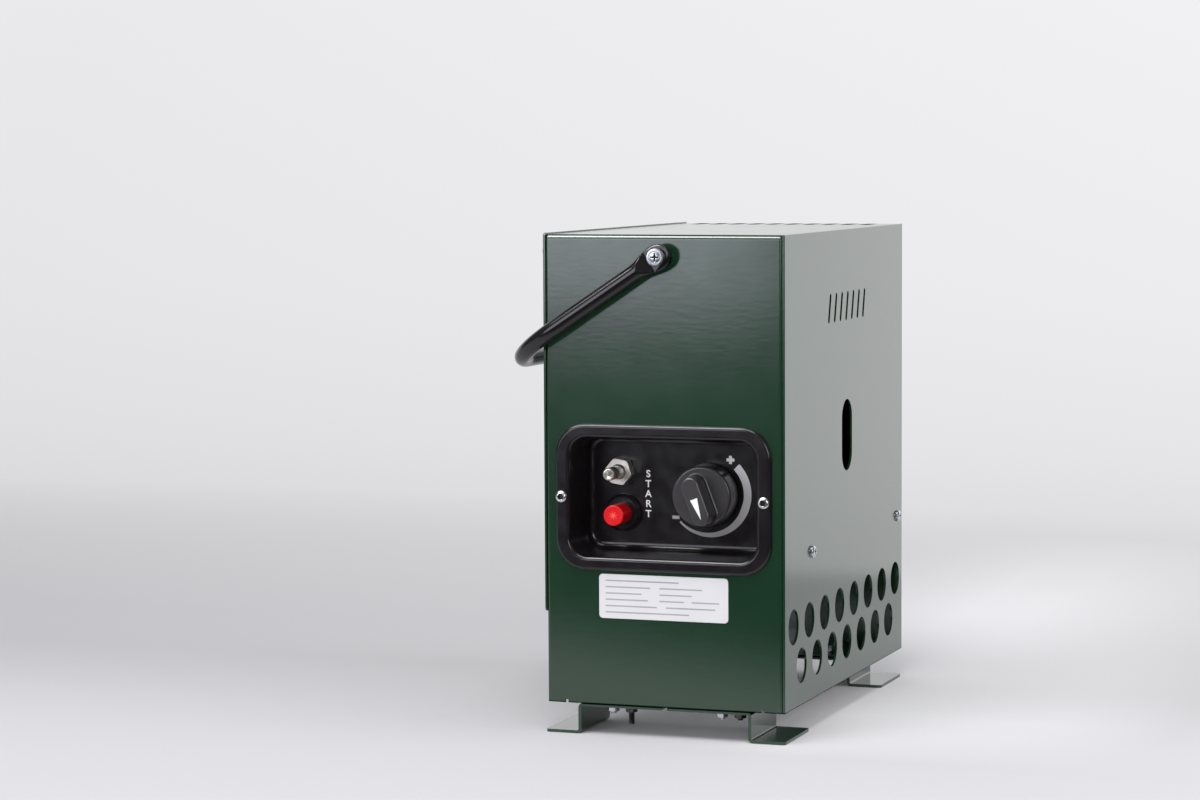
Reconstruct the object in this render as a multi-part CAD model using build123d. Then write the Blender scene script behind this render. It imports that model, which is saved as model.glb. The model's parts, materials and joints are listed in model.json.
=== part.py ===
from build123d import *
from math import cos, pi, radians
import os

# Gas tent heater: a folded sheet steel housing on four bent feet, with a bail handle,
# a recessed control panel and the gas and ignition parts behind it.
# Millimetres. X runs across the heater, the control panel faces -Y, the floor is Z = 0.
# The model is drawn about the middle of the housing and then moved sideways, so that
# the origin lies under the middle of its outline with the handle at rest.

# Housing
body_width = 162.0
body_depth = 290.0
body_height = 303.0
foot_height = 20.0
sheet = 1.5
edge_bend = 3.5
edge_ease = 0.4
side_bend = 2.0
side_flange_left = 15.0
side_flange_right = 9.5
top_flange = 12.0
bottom_flange_depth = 57.0
bottom_flange_inset = 16.5
relief_width = 2.0
relief_height = 2.0
relief_offset = 1.8
centre_gap = 4.0

# Top slots
slot_count = 10
slot_pitch = 13.7
slot_width = 8.0
slot_length = 30.0
slot_back_margin = 6.0

# Right panel: two rows of air holes, a viewing slot and a row of slanted slits
hole_bore = 23.0
hole_pitch = 36.0
upper_hole_count = 8
lower_hole_count = 7
lower_hole_rise = 25.8
hole_row_pitch = 27.0
view_slot_width = 25.0
view_slot_height = 48.0
view_slot_rise = 165.4
slit_count = 7
slit_pitch = 14.0
slit_width = 4.0
slit_height = 20.0
slit_drop = 51.0
slit_lean = 15.0

# Left cover
cover_bottom_rise = 59.0
cover_lip = 0.8
cover_corner = 2.0
cover_screw_inset = 8.0
cover_screw_drop = 11.0
cover_screw_rise = 7.0

# Feet, bent like a Z from strip
foot_sheet = 2.0
foot_length = 55.0
foot_toe = 22.5
foot_bend = 3.0
toe_corner = 2.5
foot_inset_back = 2.0
foot_screw_to_web = 21.8
foot_screw_inset = 7.5
foot_inner_screw_to_web = 18.5
foot_inner_screw_inset = 42.0
stud_left_to_web = 34.0
stud_right_to_web = 9.5
foot_stud_length = 14.0

# Metric fasteners: thread, head, nut
m4_thread = 4.0
m4_clearance = 4.4
m4_head = 8.0
m4_head_height = 2.2
m4_button_head = 7.6
m4_button_height = 2.2
m4_nut_flats = 7.0
m4_nut_height = 3.2
m6_thread = 6.0
m6_clearance = 6.5
m6_head = 11.6
m6_head_height = 3.8
m6_nut_flats = 10.0
m6_nut_height = 5.0
side_screw_rise = 96.5
side_screw_front_inset = 61.0
side_screw_back_inset = 13.0
screw_grip_spare = 1.5
head_slope_share = 0.3

# Control recess
panel_rise = 134.3
bezel_margin = 8.5
bezel_height = 94.5
bezel_corner = 20.0
bezel_thickness = 3.0
bezel_edge_round = 2.2
bezel_side_rim = 9.7
bezel_top_rim = 8.75
bezel_screw_inset = 4.5
opening_corner = 12.0
opening_round = 2.4
recess_depth = 32.0
recess_draft = 3.6
recess_wall = 1.5
floor_round = 4.0
recess_fit = 0.4

# Label
label_width = 87.0
label_height = 28.6
label_corner = 2.5
label_thickness = 0.5
label_gap = 2.15

# Knob and valve
knob_inset = 41.8
knob_rise = 0.8
knob_base = 40.2
knob_front = 39.2
knob_disc_height = 14.9
knob_disc_round = 1.5
knob_height = 30.0
knob_wall = 2.2
knob_cover = 15.3
grip_length = 32.4
grip_width = 12.2
grip_offset = 2.0
grip_round = 1.3
grip_root_round = 1.6
knob_rest_angle = 20.6
knob_travel = 3.0
knob_gap = 0.8
hub_diameter = 14.0
spindle_diameter = 8.0
spindle_flat = 1.2
spindle_length = 30.0
running_gap = 0.05
end_gap = 0.1
boss_diameter = 14.0
boss_proud = 4.5
ring_nut_diameter = 19.0
ring_nut_thickness = 3.0
ring_nut_room = 1.0
valve_width = 30.0
valve_height = 34.0
valve_length = 31.5
valve_corner = 5.0
valve_port_share = 0.75
plunger_length = 7.0
bore_bottom_wall = 8.0

# Gas inlet
inlet_inset = 24.3
inlet_rise = 14.3
nipple_diameter = 8.5
nipple_bore = 5.0
nipple_mouth = 6.4
nipple_reach = 27.7
nipple_root = 9.5
nipple_neck = 6.6
nipple_bead = 2.6
nipple_bead_edge = 0.8
nipple_cone = 1.0
inlet_thread = 10.0
inlet_nut_flats = 16.0
inlet_nut_thickness = 8.0
inlet_nut_edge = 0.5
inlet_washer = 15.5
inlet_washer_thickness = 1.0
inlet_locknut_thickness = 5.0
inlet_rear = 11.5
nut_turn = -10.0

# Gas pipes and the burner
pipe_diameter = 6.0
pipe_bend = 7.0
pipe_wall = 1.0
pipe_nut_flats = 12.0
pipe_nut_length = 8.0
pipe_insert = 4.0
port_diameter = 10.0
port_length = 6.0
burner_over_tray = 36.5
holder_flats = 14.0
holder_length = 14.0
holder_gap = 2.0
spigot_length = 8.0
injector_diameter = 7.0
injector_length = 6.0
injector_bore = 1.5
mixing_bore = 14.0
mixing_wall = 1.0
mixing_length = 52.0
air_window_width = 9.0
air_window_length = 12.0
air_window_gap = 2.0
burner_diameter = 26.0
burner_wall = 1.0
burner_length = 132.0
port_slot_count = 14
port_slot_pitch = 8.0
port_slot_width = 1.6
port_slot_across = 14.0
port_slot_depth = 4.5
bracket_sheet = 1.2
bracket_foot = 10.0
bracket_reach = 10.0
bracket_front_gap = 22.0
bracket_back_gap = 26.0

# Inner sheets
tray_sheet = 1.5
tray_rise = 80.0
tray_flange = 24.0
tray_opening_inset = 23.0
tray_opening_margin = 9.0
tray_corner = 8.0
shield_sheet = 1.0
shield_gap = 8.0
shield_foot = 12.0
shield_notch = 12.0
shield_inset = 11.0
shield_drop = 23.0
firebox_front_gap = 14.0
firebox_back_margin = 17.0
firebox_inset = 23.0
firebox_drop = 27.0
firebox_corner = 3.0
window_width = 30.0
window_height = 54.0
sheet_hole_gap = 0.5

# Ignition
piezo_inset = 25.1
piezo_drop = 12.9
piezo_collar = 24.4
piezo_collar_thickness = 4.0
piezo_collar_chamfer = 1.8
piezo_sleeve = 16.6
piezo_sleeve_proud = 1.2
piezo_barrel = 18.0
piezo_length = 30.0
piezo_nut = 24.0
piezo_nut_thickness = 4.0
button_diameter = 13.5
button_proud = 17.4
button_travel = 5.5
button_spring_room = 14.0
button_edge = 0.8
piezo_end_wall = 5.0
piezo_tab = 5.0
piezo_tab_length = 5.0
lead_diameter = 3.0
lead_bend = 8.0
lead_straight_share = 0.3
spark_offset = 10.5
spark_rise = 14.0
ceramic_diameter = 7.0
ceramic_front_gap = 16.0
ceramic_length = 36.0
electrode_wire = 2.0
electrode_tip = 9.0
probe_diameter = 4.0
probe_front_gap = 10.0
probe_length = 46.0
capillary_diameter = 2.0
capillary_bend = 6.0
probe_port_offset = 7.0
probe_port_diameter = 8.0
probe_port_length = 5.0

# Bail handle: a bent tube with flattened eyes
pivot_drop = 14.0
handle_tube = 11.0
handle_reach = 124.0
handle_bend = 40.0
handle_standoff = 9.5
handle_rest_angle = 33.4
eye_width = 17.0
eye_thickness = 4.0
eye_edge = 1.4
eye_neck = 11.0
eye_taper = 16.0
spigot_diameter = 8.0
bush_flange = 13.0

# Overshoot of a cutting tool past the face that it cuts
over = 1.0

# Distance within which two places count as the same
near = 0.01

# Planes and places that follow from the sizes above
half_width = body_width / 2
shell_half = half_width - sheet
half_depth = body_depth / 2
front = -half_depth
base_z = foot_height
top_z = base_z + body_height
bottom_flange_half = half_width - bottom_flange_inset
relief_centre = bottom_flange_half + relief_offset
lower_hole_z = base_z + lower_hole_rise
upper_hole_z = lower_hole_z + hole_row_pitch
view_slot_z = base_z + view_slot_rise
slit_z = top_z - slit_drop
cover_bottom_z = base_z + cover_bottom_rise
cover_screw_y = half_depth - cover_screw_inset
cover_screw_top_z = top_z - cover_screw_drop
cover_screw_low_z = cover_bottom_z + cover_screw_rise
foot_web_x = half_width - foot_toe
side_screw_z = base_z + side_screw_rise
side_screw_front_y = front + side_screw_front_inset
side_screw_back_y = half_depth - side_screw_back_inset
panel_z = base_z + panel_rise
bezel_width = body_width - 2 * bezel_margin
bezel_screw_x = bezel_width / 2 - bezel_screw_inset
opening_width = bezel_width - 2 * bezel_side_rim
opening_height = bezel_height - 2 * bezel_top_rim
outer_draft_width = opening_width + 2 * recess_wall
outer_draft_height = opening_height + 2 * recess_wall
label_z = panel_z - bezel_height / 2 - label_gap - label_height / 2
recess_floor = front + recess_depth
recess_back = recess_floor + recess_wall
knob_x = opening_width / 2 - knob_inset
knob_z = panel_z + knob_rise
knob_back = recess_floor - knob_travel - knob_gap
knob_face = knob_back - knob_height
spindle_start = knob_face + knob_cover + end_gap
valve_back = recess_back + valve_length
valve_port_y = recess_back + valve_length * valve_port_share
inlet_x = inlet_inset - opening_width / 2
inlet_z = panel_z + inlet_rise
inlet_back = recess_back + inlet_rear
tray_z = base_z + tray_rise
tray_top = tray_z + tray_sheet
burner_z = tray_top + burner_over_tray
holder_front_y = valve_back + holder_gap
holder_back = holder_front_y + holder_length
burner_front = holder_back + mixing_length
firebox_front = burner_front - firebox_front_gap
firebox_back = half_depth - firebox_back_margin
firebox_half = half_width - firebox_inset
firebox_top = top_z - firebox_drop
shield_y = firebox_front - shield_gap
shield_half = half_width - shield_inset
shield_top = top_z - shield_drop
tray_opening_half = firebox_half - tray_opening_inset
piezo_x = piezo_inset - opening_width / 2
piezo_z = panel_z - piezo_drop
piezo_back = recess_back + piezo_length
piezo_bore_end = piezo_back - piezo_end_wall
button_face = recess_floor - piezo_collar_thickness - button_proud
button_back = piezo_bore_end - button_travel - button_spring_room
spark_z = burner_z + spark_rise
ceramic_front = shield_y - ceramic_front_gap
probe_front = shield_y - probe_front_gap
pivot_z = top_z - pivot_drop
eye_inner = half_depth + handle_standoff - eye_thickness / 2
eye_outer = half_depth + handle_standoff + eye_thickness / 2
side_head_face = half_width + m4_head_height
handle_left = handle_reach * cos(radians(handle_rest_angle)) + handle_tube / 2
origin_x = (side_head_face - handle_left) / 2


def box(x0, x1, y0, y1, z0, z1):
    """Block between two corners."""
    middle = ((x0 + x1) / 2, (y0 + y1) / 2, (z0 + z1) / 2)
    return Pos(*middle) * Box(abs(x1 - x0), abs(y1 - y0), abs(z1 - z0))


def facing_front(x, y, z):
    """Plane that looks out of the front of the heater, with +X to the right."""
    return Plane(origin=(x, y, z), x_dir=(1, 0, 0), z_dir=(0, -1, 0))


def rod_y(x, z, y0, y1, diameter):
    """Round rod along Y."""
    face = Plane(origin=(x, max(y0, y1), z), x_dir=(1, 0, 0), z_dir=(0, -1, 0)) * Circle(diameter / 2)
    return extrude(face, abs(y1 - y0))


def rod_x(y, z, x0, x1, diameter):
    """Round rod along X."""
    face = Plane(origin=(min(x0, x1), y, z), x_dir=(0, 1, 0), z_dir=(1, 0, 0)) * Circle(diameter / 2)
    return extrude(face, abs(x1 - x0))


def rod_z(x, y, z0, z1, diameter):
    """Round rod along Z."""
    return extrude(Pos(x, y, min(z0, z1)) * Circle(diameter / 2), abs(z1 - z0))


def hexagon(flats, height, bore, edge=0.0):
    """Nut with its lower face on Z = 0 and, if asked, its upper corners turned off."""
    corner = flats / 2 / cos(pi / 6)
    nut = extrude(RegularPolygon(corner, 6), height)
    if edge:
        slope = Polyline((0, 0), (corner, 0), (corner, height - edge), (corner - edge, height),
                         (0, height), close=True)
        nut &= revolve(Plane.XZ * make_face(slope), Axis.Z)
    return nut - Cylinder(bore / 2 + running_gap, height, align=(Align.CENTER, Align.CENTER, Align.MIN))


def round_screw(head, head_height, thread, length):
    """Screw with a round head above Z = 0 and its thread below."""
    r = head / 2
    slope = head * head_slope_share / 2
    outline = Polyline((0, -length), (thread / 2, -length), (thread / 2, 0), (r, 0),
                       (r, head_height - slope), (r - slope, head_height), (0, head_height), close=True)
    return revolve(Plane.XZ * make_face(outline), Axis.Z)


def towards(point, direction):
    """Placement whose Z axis points along direction, at point."""
    side = (1, 0, 0) if abs(direction[0]) < 0.5 else (0, 1, 0)
    return Plane(origin=point, x_dir=side, z_dir=direction).location


def tube_along(points, diameter, bend, bore=0.0):
    """Bent rod or pipe along straight runs joined by tangent arcs."""
    route = FilletPolyline(*points, radius=bend)
    section = Plane(origin=route @ 0, z_dir=route % 0) * Circle(diameter / 2)
    solid = sweep(section, path=route)
    if bore:
        hollow = Plane(origin=route @ 0, z_dir=route % 0) * Circle(bore / 2)
        solid -= sweep(hollow, path=route)
    area = pi / 4 * (diameter ** 2 - bore ** 2)
    print(f"tube {diameter} mm: volume {solid.volume:.1f}, section times length {area * route.length:.1f}")
    return solid


def body_shell():
    """Front, top and back from one sheet, with flanges turned in along every free edge."""
    outer = box(-shell_half, shell_half, front, half_depth, base_z, top_z)
    inner = box(-shell_half + sheet, shell_half - sheet, front + sheet, half_depth - sheet,
                base_z + sheet, top_z - sheet)
    long_edges = outer.edges().filter_by(Axis.X).group_by(Axis.Z)[-1]
    outer = fillet(long_edges, edge_bend)
    inner = fillet(inner.edges().filter_by(Axis.X).group_by(Axis.Z)[-1], edge_bend - sheet)
    outer = fillet(outer.edges().filter_by(Axis.Z), side_bend)
    shell = outer - inner
    for sign, flange in ((-1, side_flange_left), (1, side_flange_right)):
        side_x = sign * (shell_half - sheet / 2)
        shell -= box(side_x - sheet, side_x + sheet, front + flange, half_depth - flange,
                     base_z - 1, top_z - top_flange)
        shell -= box(sign * bottom_flange_half, sign * (shell_half - sheet), front + sheet,
                     half_depth - sheet, base_z - 1, base_z + sheet)
        shell -= box(sign * (shell_half - sheet - 1), sign * (shell_half + 1), front + sheet + 1,
                     half_depth - sheet - 1, base_z - 1, base_z + sheet)
    shell -= box(-bottom_flange_half, bottom_flange_half, front + bottom_flange_depth,
                 half_depth - bottom_flange_depth, base_z - 1, base_z + sheet + 1)
    for relief in (-relief_centre, relief_centre):
        for wall in (front, half_depth - sheet):
            shell -= box(relief - relief_width / 2, relief + relief_width / 2, wall - 1,
                         wall + sheet + 1, base_z - 1, base_z + relief_height)
    shell -= recess_cutout()
    shell -= top_slots()
    for place in bezel_screw_places():
        shell -= rod_y(place[0], place[1], front - 1, front + sheet + 1, m4_clearance)
    for end in (-1, 1):
        shell -= rod_y(0, pivot_z, end * (half_depth - sheet - 1), end * (half_depth + 1), m6_clearance)
        for height in (cover_screw_top_z, cover_screw_low_z):
            shell -= rod_x(end * cover_screw_y, height, -shell_half - 1, -shell_half + sheet + 1,
                           m4_clearance)
    for x, y, clearance in foot_hole_places():
        shell -= rod_z(x, y, base_z - 1, base_z + sheet + 1, clearance)
    return shell


def recess_cutout():
    """Opening in the front for the drafted body of the control recess."""
    face = facing_front(0, front + sheet + 1, panel_z) * RectangleRounded(
        outer_draft_width + 2 * recess_fit, outer_draft_height + 2 * recess_fit,
        opening_corner + recess_wall + recess_fit)
    return extrude(face, sheet + 2)


def top_slots():
    """Row of warm air slots near the back of the top."""
    middle_y = half_depth - slot_back_margin - slot_length / 2
    slots = Sketch() + [
        Pos((i - (slot_count - 1) / 2) * slot_pitch, middle_y) * SlotOverall(slot_length, slot_width, 90)
        for i in range(slot_count)]
    return extrude(Pos(0, 0, top_z - sheet - 1) * slots, sheet + 2)


def bezel_screw_places():
    """Screw centres of the control recess, in X and Z."""
    return [(-bezel_screw_x, panel_z), (bezel_screw_x, panel_z)]


def foot_screw_places():
    """Centres of the screws that hold the feet, with their nuts below."""
    edge = half_depth - foot_screw_inset
    x = foot_web_x - foot_screw_to_web
    return [(side * x, end * edge) for side in (-1, 1) for end in (-1, 1)]


def foot_inner_screw_places():
    """Centres of the second screw of each foot, with its nut above."""
    edge = half_depth - foot_inner_screw_inset
    x = foot_web_x - foot_inner_screw_to_web
    return [(side * x, end * edge) for side in (-1, 1) for end in (-1, 1)]


def foot_stud_places():
    """Centres of the dark studs at the front feet."""
    edge = half_depth - foot_screw_inset
    return [(stud_left_to_web - foot_web_x, -edge), (foot_web_x - stud_right_to_web, -edge)]


def foot_hole_places():
    """Every hole through the bottom flanges, with its bore."""
    places = foot_screw_places() + foot_inner_screw_places() + foot_stud_places()
    return [(x, y, m4_clearance) for x, y in places]


def right_side_panel():
    """Flat panel with the air holes, the viewing slot and the slits."""
    panel = box(shell_half, half_width, front, half_depth, base_z, top_z)
    panel = fillet(panel.faces().sort_by(Axis.X)[-1].edges(), edge_ease)
    side = Plane(origin=(shell_half - 1, 0, 0), x_dir=(0, 1, 0), z_dir=(1, 0, 0))
    cuts = Sketch()
    for count, height in ((upper_hole_count, upper_hole_z), (lower_hole_count, lower_hole_z)):
        cuts += [Pos((i - (count - 1) / 2) * hole_pitch, height) * Circle(hole_bore / 2)
                 for i in range(count)]
    cuts += Pos(0, view_slot_z) * SlotOverall(view_slot_height, view_slot_width, 90)
    cuts += [Pos((i - (slit_count - 1) / 2) * slit_pitch, slit_z)
             * SlotOverall(slit_height, slit_width, 90 - slit_lean) for i in range(slit_count)]
    for y in (side_screw_front_y, side_screw_back_y):
        cuts += Pos(y, side_screw_z) * Circle(m4_clearance / 2)
    return panel - extrude(side * cuts, sheet + 2)


def left_cover():
    """Flat cover that stops short of the floor and stands a little above the top."""
    cover = box(-half_width, -shell_half, front, half_depth, cover_bottom_z, top_z + cover_lip)
    cover = fillet(cover.edges().filter_by(Axis.X), cover_corner)
    cover = fillet(cover.faces().sort_by(Axis.X)[0].edges(), edge_ease)
    for y in (-cover_screw_y, cover_screw_y):
        for height in (cover_screw_top_z, cover_screw_low_z):
            cover -= rod_x(y, height, -half_width - 1, -shell_half + 1, m4_clearance)
    return cover


def foot(side, end):
    """Foot bent from strip: a flange under the housing, an upright and a toe on the floor."""
    t = foot_sheet
    inner = centre_gap / 2
    toe = foot_web_x + foot_toe
    outline = Polyline((inner, foot_height - t), (foot_web_x - t, foot_height - t), (foot_web_x - t, 0),
                       (toe, 0), (toe, t), (foot_web_x, t), (foot_web_x, foot_height),
                       (inner, foot_height), close=True)
    profile = make_face(outline)
    corners = profile.vertices()
    front_side = [v for v in corners if abs(v.X - foot_web_x) < near]
    back_side = [v for v in corners if abs(v.X - foot_web_x + t) < near]
    outside = [v for v in front_side if v.Y > foot_height - near]
    outside += [v for v in back_side if v.Y < near]
    inside = [v for v in front_side if abs(v.Y - t) < near]
    inside += [v for v in back_side if abs(v.Y - foot_height + t) < near]
    profile = fillet(outside, foot_bend)
    inside = [v for v in profile.vertices()
              if any((v.center() - w.center()).length < near for w in inside)]
    profile = fillet(inside, foot_bend - t)
    strip = extrude(Plane.XZ * profile, foot_length)
    start = front + foot_length if end < 0 else half_depth - foot_inset_back
    ends = strip.edges().filter_by(Axis.Z).group_by(Axis.X)[-1]
    solid = Pos(0, start, 0) * fillet(ends, toe_corner)
    if side < 0:
        solid = mirror(solid, Plane.YZ)
    for x, y, clearance in foot_hole_places():
        if x * side > 0 and y * end > 0:
            solid -= rod_z(x, y, foot_height - t - 1, foot_height + 1, clearance)
    return solid


def foot_screws():
    """Screws from inside the housing for the outer holes, from below for the inner ones."""
    grip = sheet + foot_sheet
    outer_length = grip + m4_nut_height + screw_grip_spare
    placed = []
    for x, y in foot_screw_places():
        screw = round_screw(m4_head, m4_head_height, m4_thread, outer_length)
        placed.append(Pos(x, y, base_z + sheet) * screw)
    for x, y in foot_inner_screw_places():
        screw = round_screw(m4_head, m4_head_height, m4_thread, outer_length)
        placed.append(towards((x, y, base_z - foot_sheet), (0, 0, -1)) * screw)
    return Compound(placed)


def foot_nuts():
    """Nuts below the outer holes and above the inner ones."""
    nut = hexagon(m4_nut_flats, m4_nut_height, m4_thread)
    low = [Pos(x, y, base_z - foot_sheet - m4_nut_height) * nut for x, y in foot_screw_places()]
    high = [Pos(x, y, base_z + sheet) * nut for x, y in foot_inner_screw_places()]
    return Compound(low + high)


def foot_studs():
    """Dark studs of the front feet; the left one hangs well below its nut."""
    placed = []
    for (x, y), extra in zip(foot_stud_places(), (foot_stud_length, screw_grip_spare + m4_nut_height)):
        screw = round_screw(m4_head, m4_head_height, m4_thread, sheet + foot_sheet + extra)
        placed.append(Pos(x, y, base_z + sheet) * screw)
    return Compound(placed)


def foot_stud_nuts():
    """Nuts of the dark studs."""
    nut = hexagon(m4_nut_flats, m4_nut_height, m4_thread)
    return Compound([Pos(x, y, base_z - foot_sheet - m4_nut_height) * nut for x, y in foot_stud_places()])


def cover_screws():
    """Four screws through the left cover."""
    length = 2 * sheet + m4_nut_height + screw_grip_spare
    screw = round_screw(m4_head, m4_head_height, m4_thread, length)
    return Compound([towards((-half_width, y, z), (-1, 0, 0)) * screw
                     for y in (-cover_screw_y, cover_screw_y)
                     for z in (cover_screw_top_z, cover_screw_low_z)])


def cover_nuts():
    """Nuts on the inner face of the left flange."""
    nut = hexagon(m4_nut_flats, m4_nut_height, m4_thread)
    return Compound([towards((-shell_half + sheet, y, z), (1, 0, 0)) * nut
                     for y in (-cover_screw_y, cover_screw_y)
                     for z in (cover_screw_top_z, cover_screw_low_z)])


def side_screws():
    """Two screws through the right panel into the inner tray."""
    length = sheet + tray_sheet + m4_nut_height + screw_grip_spare
    screw = round_screw(m4_head, m4_head_height, m4_thread, length)
    return Compound([towards((half_width, y, side_screw_z), (1, 0, 0)) * screw
                     for y in (side_screw_front_y, side_screw_back_y)])


def side_nuts():
    """Nuts on the inner face of the tray's right flange."""
    nut = hexagon(m4_nut_flats, m4_nut_height, m4_thread)
    return Compound([towards((shell_half - tray_sheet, y, side_screw_z), (-1, 0, 0)) * nut
                     for y in (side_screw_front_y, side_screw_back_y)])


def control_recess():
    """Pan shaped moulding: rounded bezel, drafted walls and a floor that carries the controls."""
    rim = extrude(facing_front(0, front, panel_z)
                  * RectangleRounded(bezel_width, bezel_height, bezel_corner), bezel_thickness)
    rim = fillet(rim.faces().sort_by(Axis.Y)[0].outer_wire().edges(), bezel_edge_round)
    mouth = facing_front(0, front, panel_z)
    pan = extrude(mouth * RectangleRounded(outer_draft_width, outer_draft_height,
                                           opening_corner + recess_wall),
                  -(recess_depth + recess_wall), taper=recess_draft)
    pan = fillet(pan.faces().sort_by(Axis.Y)[-1].outer_wire().edges(), floor_round + recess_wall)
    hollow = extrude(mouth * RectangleRounded(opening_width, opening_height, opening_corner),
                     -recess_depth, taper=recess_draft)
    hollow = fillet(hollow.faces().sort_by(Axis.Y)[-1].outer_wire().edges(), floor_round)
    throat = extrude(mouth * RectangleRounded(opening_width, opening_height, opening_corner),
                     bezel_thickness)
    solid = (rim + pan) - hollow - throat
    lip = solid.faces().sort_by(Axis.Y)[0].inner_wires()[0].edges()
    solid = fillet(lip, opening_round)
    solid -= rod_y(knob_x, knob_z, recess_floor - 1, recess_back + 1, boss_diameter + 2 * running_gap)
    solid -= rod_y(inlet_x, inlet_z, recess_floor - 1, recess_back + 1, inlet_thread + 2 * running_gap)
    solid -= rod_y(piezo_x, piezo_z, recess_floor - 1, recess_back + 1, piezo_barrel + 2 * running_gap)
    for x, z in bezel_screw_places():
        solid -= rod_y(x, z, front - bezel_thickness - 1, front + 1, m4_clearance)
    return solid


def bezel_screws():
    """Button head socket screws of the control recess."""
    length = bezel_thickness + sheet + m4_nut_height + screw_grip_spare
    screw = round_screw(m4_button_head, m4_button_height, m4_thread, length)
    return Compound([towards((x, front - bezel_thickness, z), (0, -1, 0)) * screw
                     for x, z in bezel_screw_places()])


def bezel_nuts():
    """Nuts behind the front sheet for the control recess."""
    nut = hexagon(m4_nut_flats, m4_nut_height, m4_thread)
    return Compound([towards((x, front + sheet, z), (0, 1, 0)) * Rot(0, 0, 30) * nut
                     for x, z in bezel_screw_places()])


def label_plate():
    """Thin plate under the control recess."""
    face = facing_front(0, front, label_z) * RectangleRounded(label_width, label_height, label_corner)
    return extrude(face, label_thickness)


def knob():
    """Hollow turned knob with a tall grip bar across its face."""
    standing = (Align.CENTER, Align.CENTER, Align.MIN)
    disc = Cone(knob_base / 2, knob_front / 2, knob_disc_height, align=standing)
    disc = fillet(disc.edges().sort_by(Axis.Z)[-1], knob_disc_round)
    grip = extrude(Pos(0, -grip_offset) * SlotOverall(grip_length, grip_width, 90), knob_height)
    grip = fillet(grip.faces().sort_by(Axis.Z)[-1].edges(), grip_round)
    solid = disc + grip
    straight = solid.edges().filter_by(GeomType.LINE)
    root = [e for e in straight if abs(e.center().Z - knob_disc_height) < near]
    solid = fillet(root, grip_root_round)
    cavity = Cylinder(knob_front / 2 - knob_wall, knob_disc_height - knob_wall, align=standing)
    hub = Cylinder(hub_diameter / 2, knob_disc_height, align=standing)
    solid = solid - (cavity - hub)
    solid -= Cylinder(ring_nut_diameter / 2 + ring_nut_room, boss_proud, align=standing)
    shaft = Cylinder(spindle_diameter / 2 + running_gap, knob_height - knob_cover, align=standing)
    solid -= shaft
    turned = Rot(0, 0, knob_rest_angle) * solid
    return facing_front(knob_x, knob_back, knob_z).location * turned


def valve_spindle():
    """Spindle with a flat, fixed in the knob and turning in the valve."""
    rod = rod_y(knob_x, knob_z, spindle_start, spindle_start + spindle_length, spindle_diameter)
    flat = box(-spindle_diameter, spindle_diameter, spindle_start - over, knob_back,
               spindle_diameter / 2 - spindle_flat, spindle_diameter)
    turned = Pos(knob_x, 0, knob_z) * Rot(0, knob_rest_angle, 0) * flat
    return rod - turned


def valve_plunger():
    """Pin in the valve that the spindle pushes in."""
    start = spindle_start + spindle_length + end_gap
    rod = rod_y(knob_x, knob_z, start, start + plunger_length, spindle_diameter)
    return chamfer(rod.edges().sort_by(Axis.Y)[-1], 1.0)


def valve_body():
    """Die cast valve with a threaded neck, a side inlet, an outlet below and a probe port."""
    block = extrude(facing_front(knob_x, recess_back, knob_z)
                    * RectangleRounded(valve_width, valve_height, valve_corner), -valve_length)
    block = chamfer(block.faces().sort_by(Axis.Y)[-1].edges(), 1.5)
    neck = rod_y(knob_x, knob_z, recess_floor - boss_proud, recess_back + 1, boss_diameter)
    left = knob_x - valve_width / 2
    inlet = rod_x(valve_port_y, knob_z, left - port_length, left + 2, port_diameter)
    below = knob_z - valve_height / 2
    outlet = rod_z(knob_x, valve_port_y, below - port_length, below + 2, port_diameter)
    probe_port_x = knob_x + probe_port_offset
    probe_port_z = knob_z - probe_port_offset
    probe_port_end = valve_back + probe_port_length
    probe = rod_y(probe_port_x, probe_port_z, valve_back - 1, probe_port_end, probe_port_diameter)
    solid = block + neck + inlet + outlet + probe
    bore_end = valve_back - bore_bottom_wall
    solid -= rod_y(knob_x, knob_z, recess_floor - boss_proud - 1, bore_end,
                   spindle_diameter + 2 * running_gap)
    pipe_bore = pipe_diameter + 2 * running_gap
    solid -= rod_x(valve_port_y, knob_z, left - port_length - 1, left - port_length + pipe_insert,
                   pipe_bore)
    solid -= rod_z(knob_x, valve_port_y, below - port_length - 1, below - port_length + pipe_insert,
                   pipe_bore)
    solid -= rod_y(probe_port_x, probe_port_z, probe_port_end - pipe_insert, probe_port_end + 1,
                   capillary_diameter + 2 * running_gap)
    return solid


def valve_ring_nut():
    """Round nut that clamps the valve to the recess floor."""
    ring = rod_y(knob_x, knob_z, recess_floor - ring_nut_thickness, recess_floor, ring_nut_diameter)
    ring = chamfer(ring.edges().sort_by(Axis.Y)[0], 0.6)
    return ring - rod_y(knob_x, knob_z, recess_floor - ring_nut_thickness - over, recess_floor + over,
                        boss_diameter + 2 * running_gap)


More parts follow.
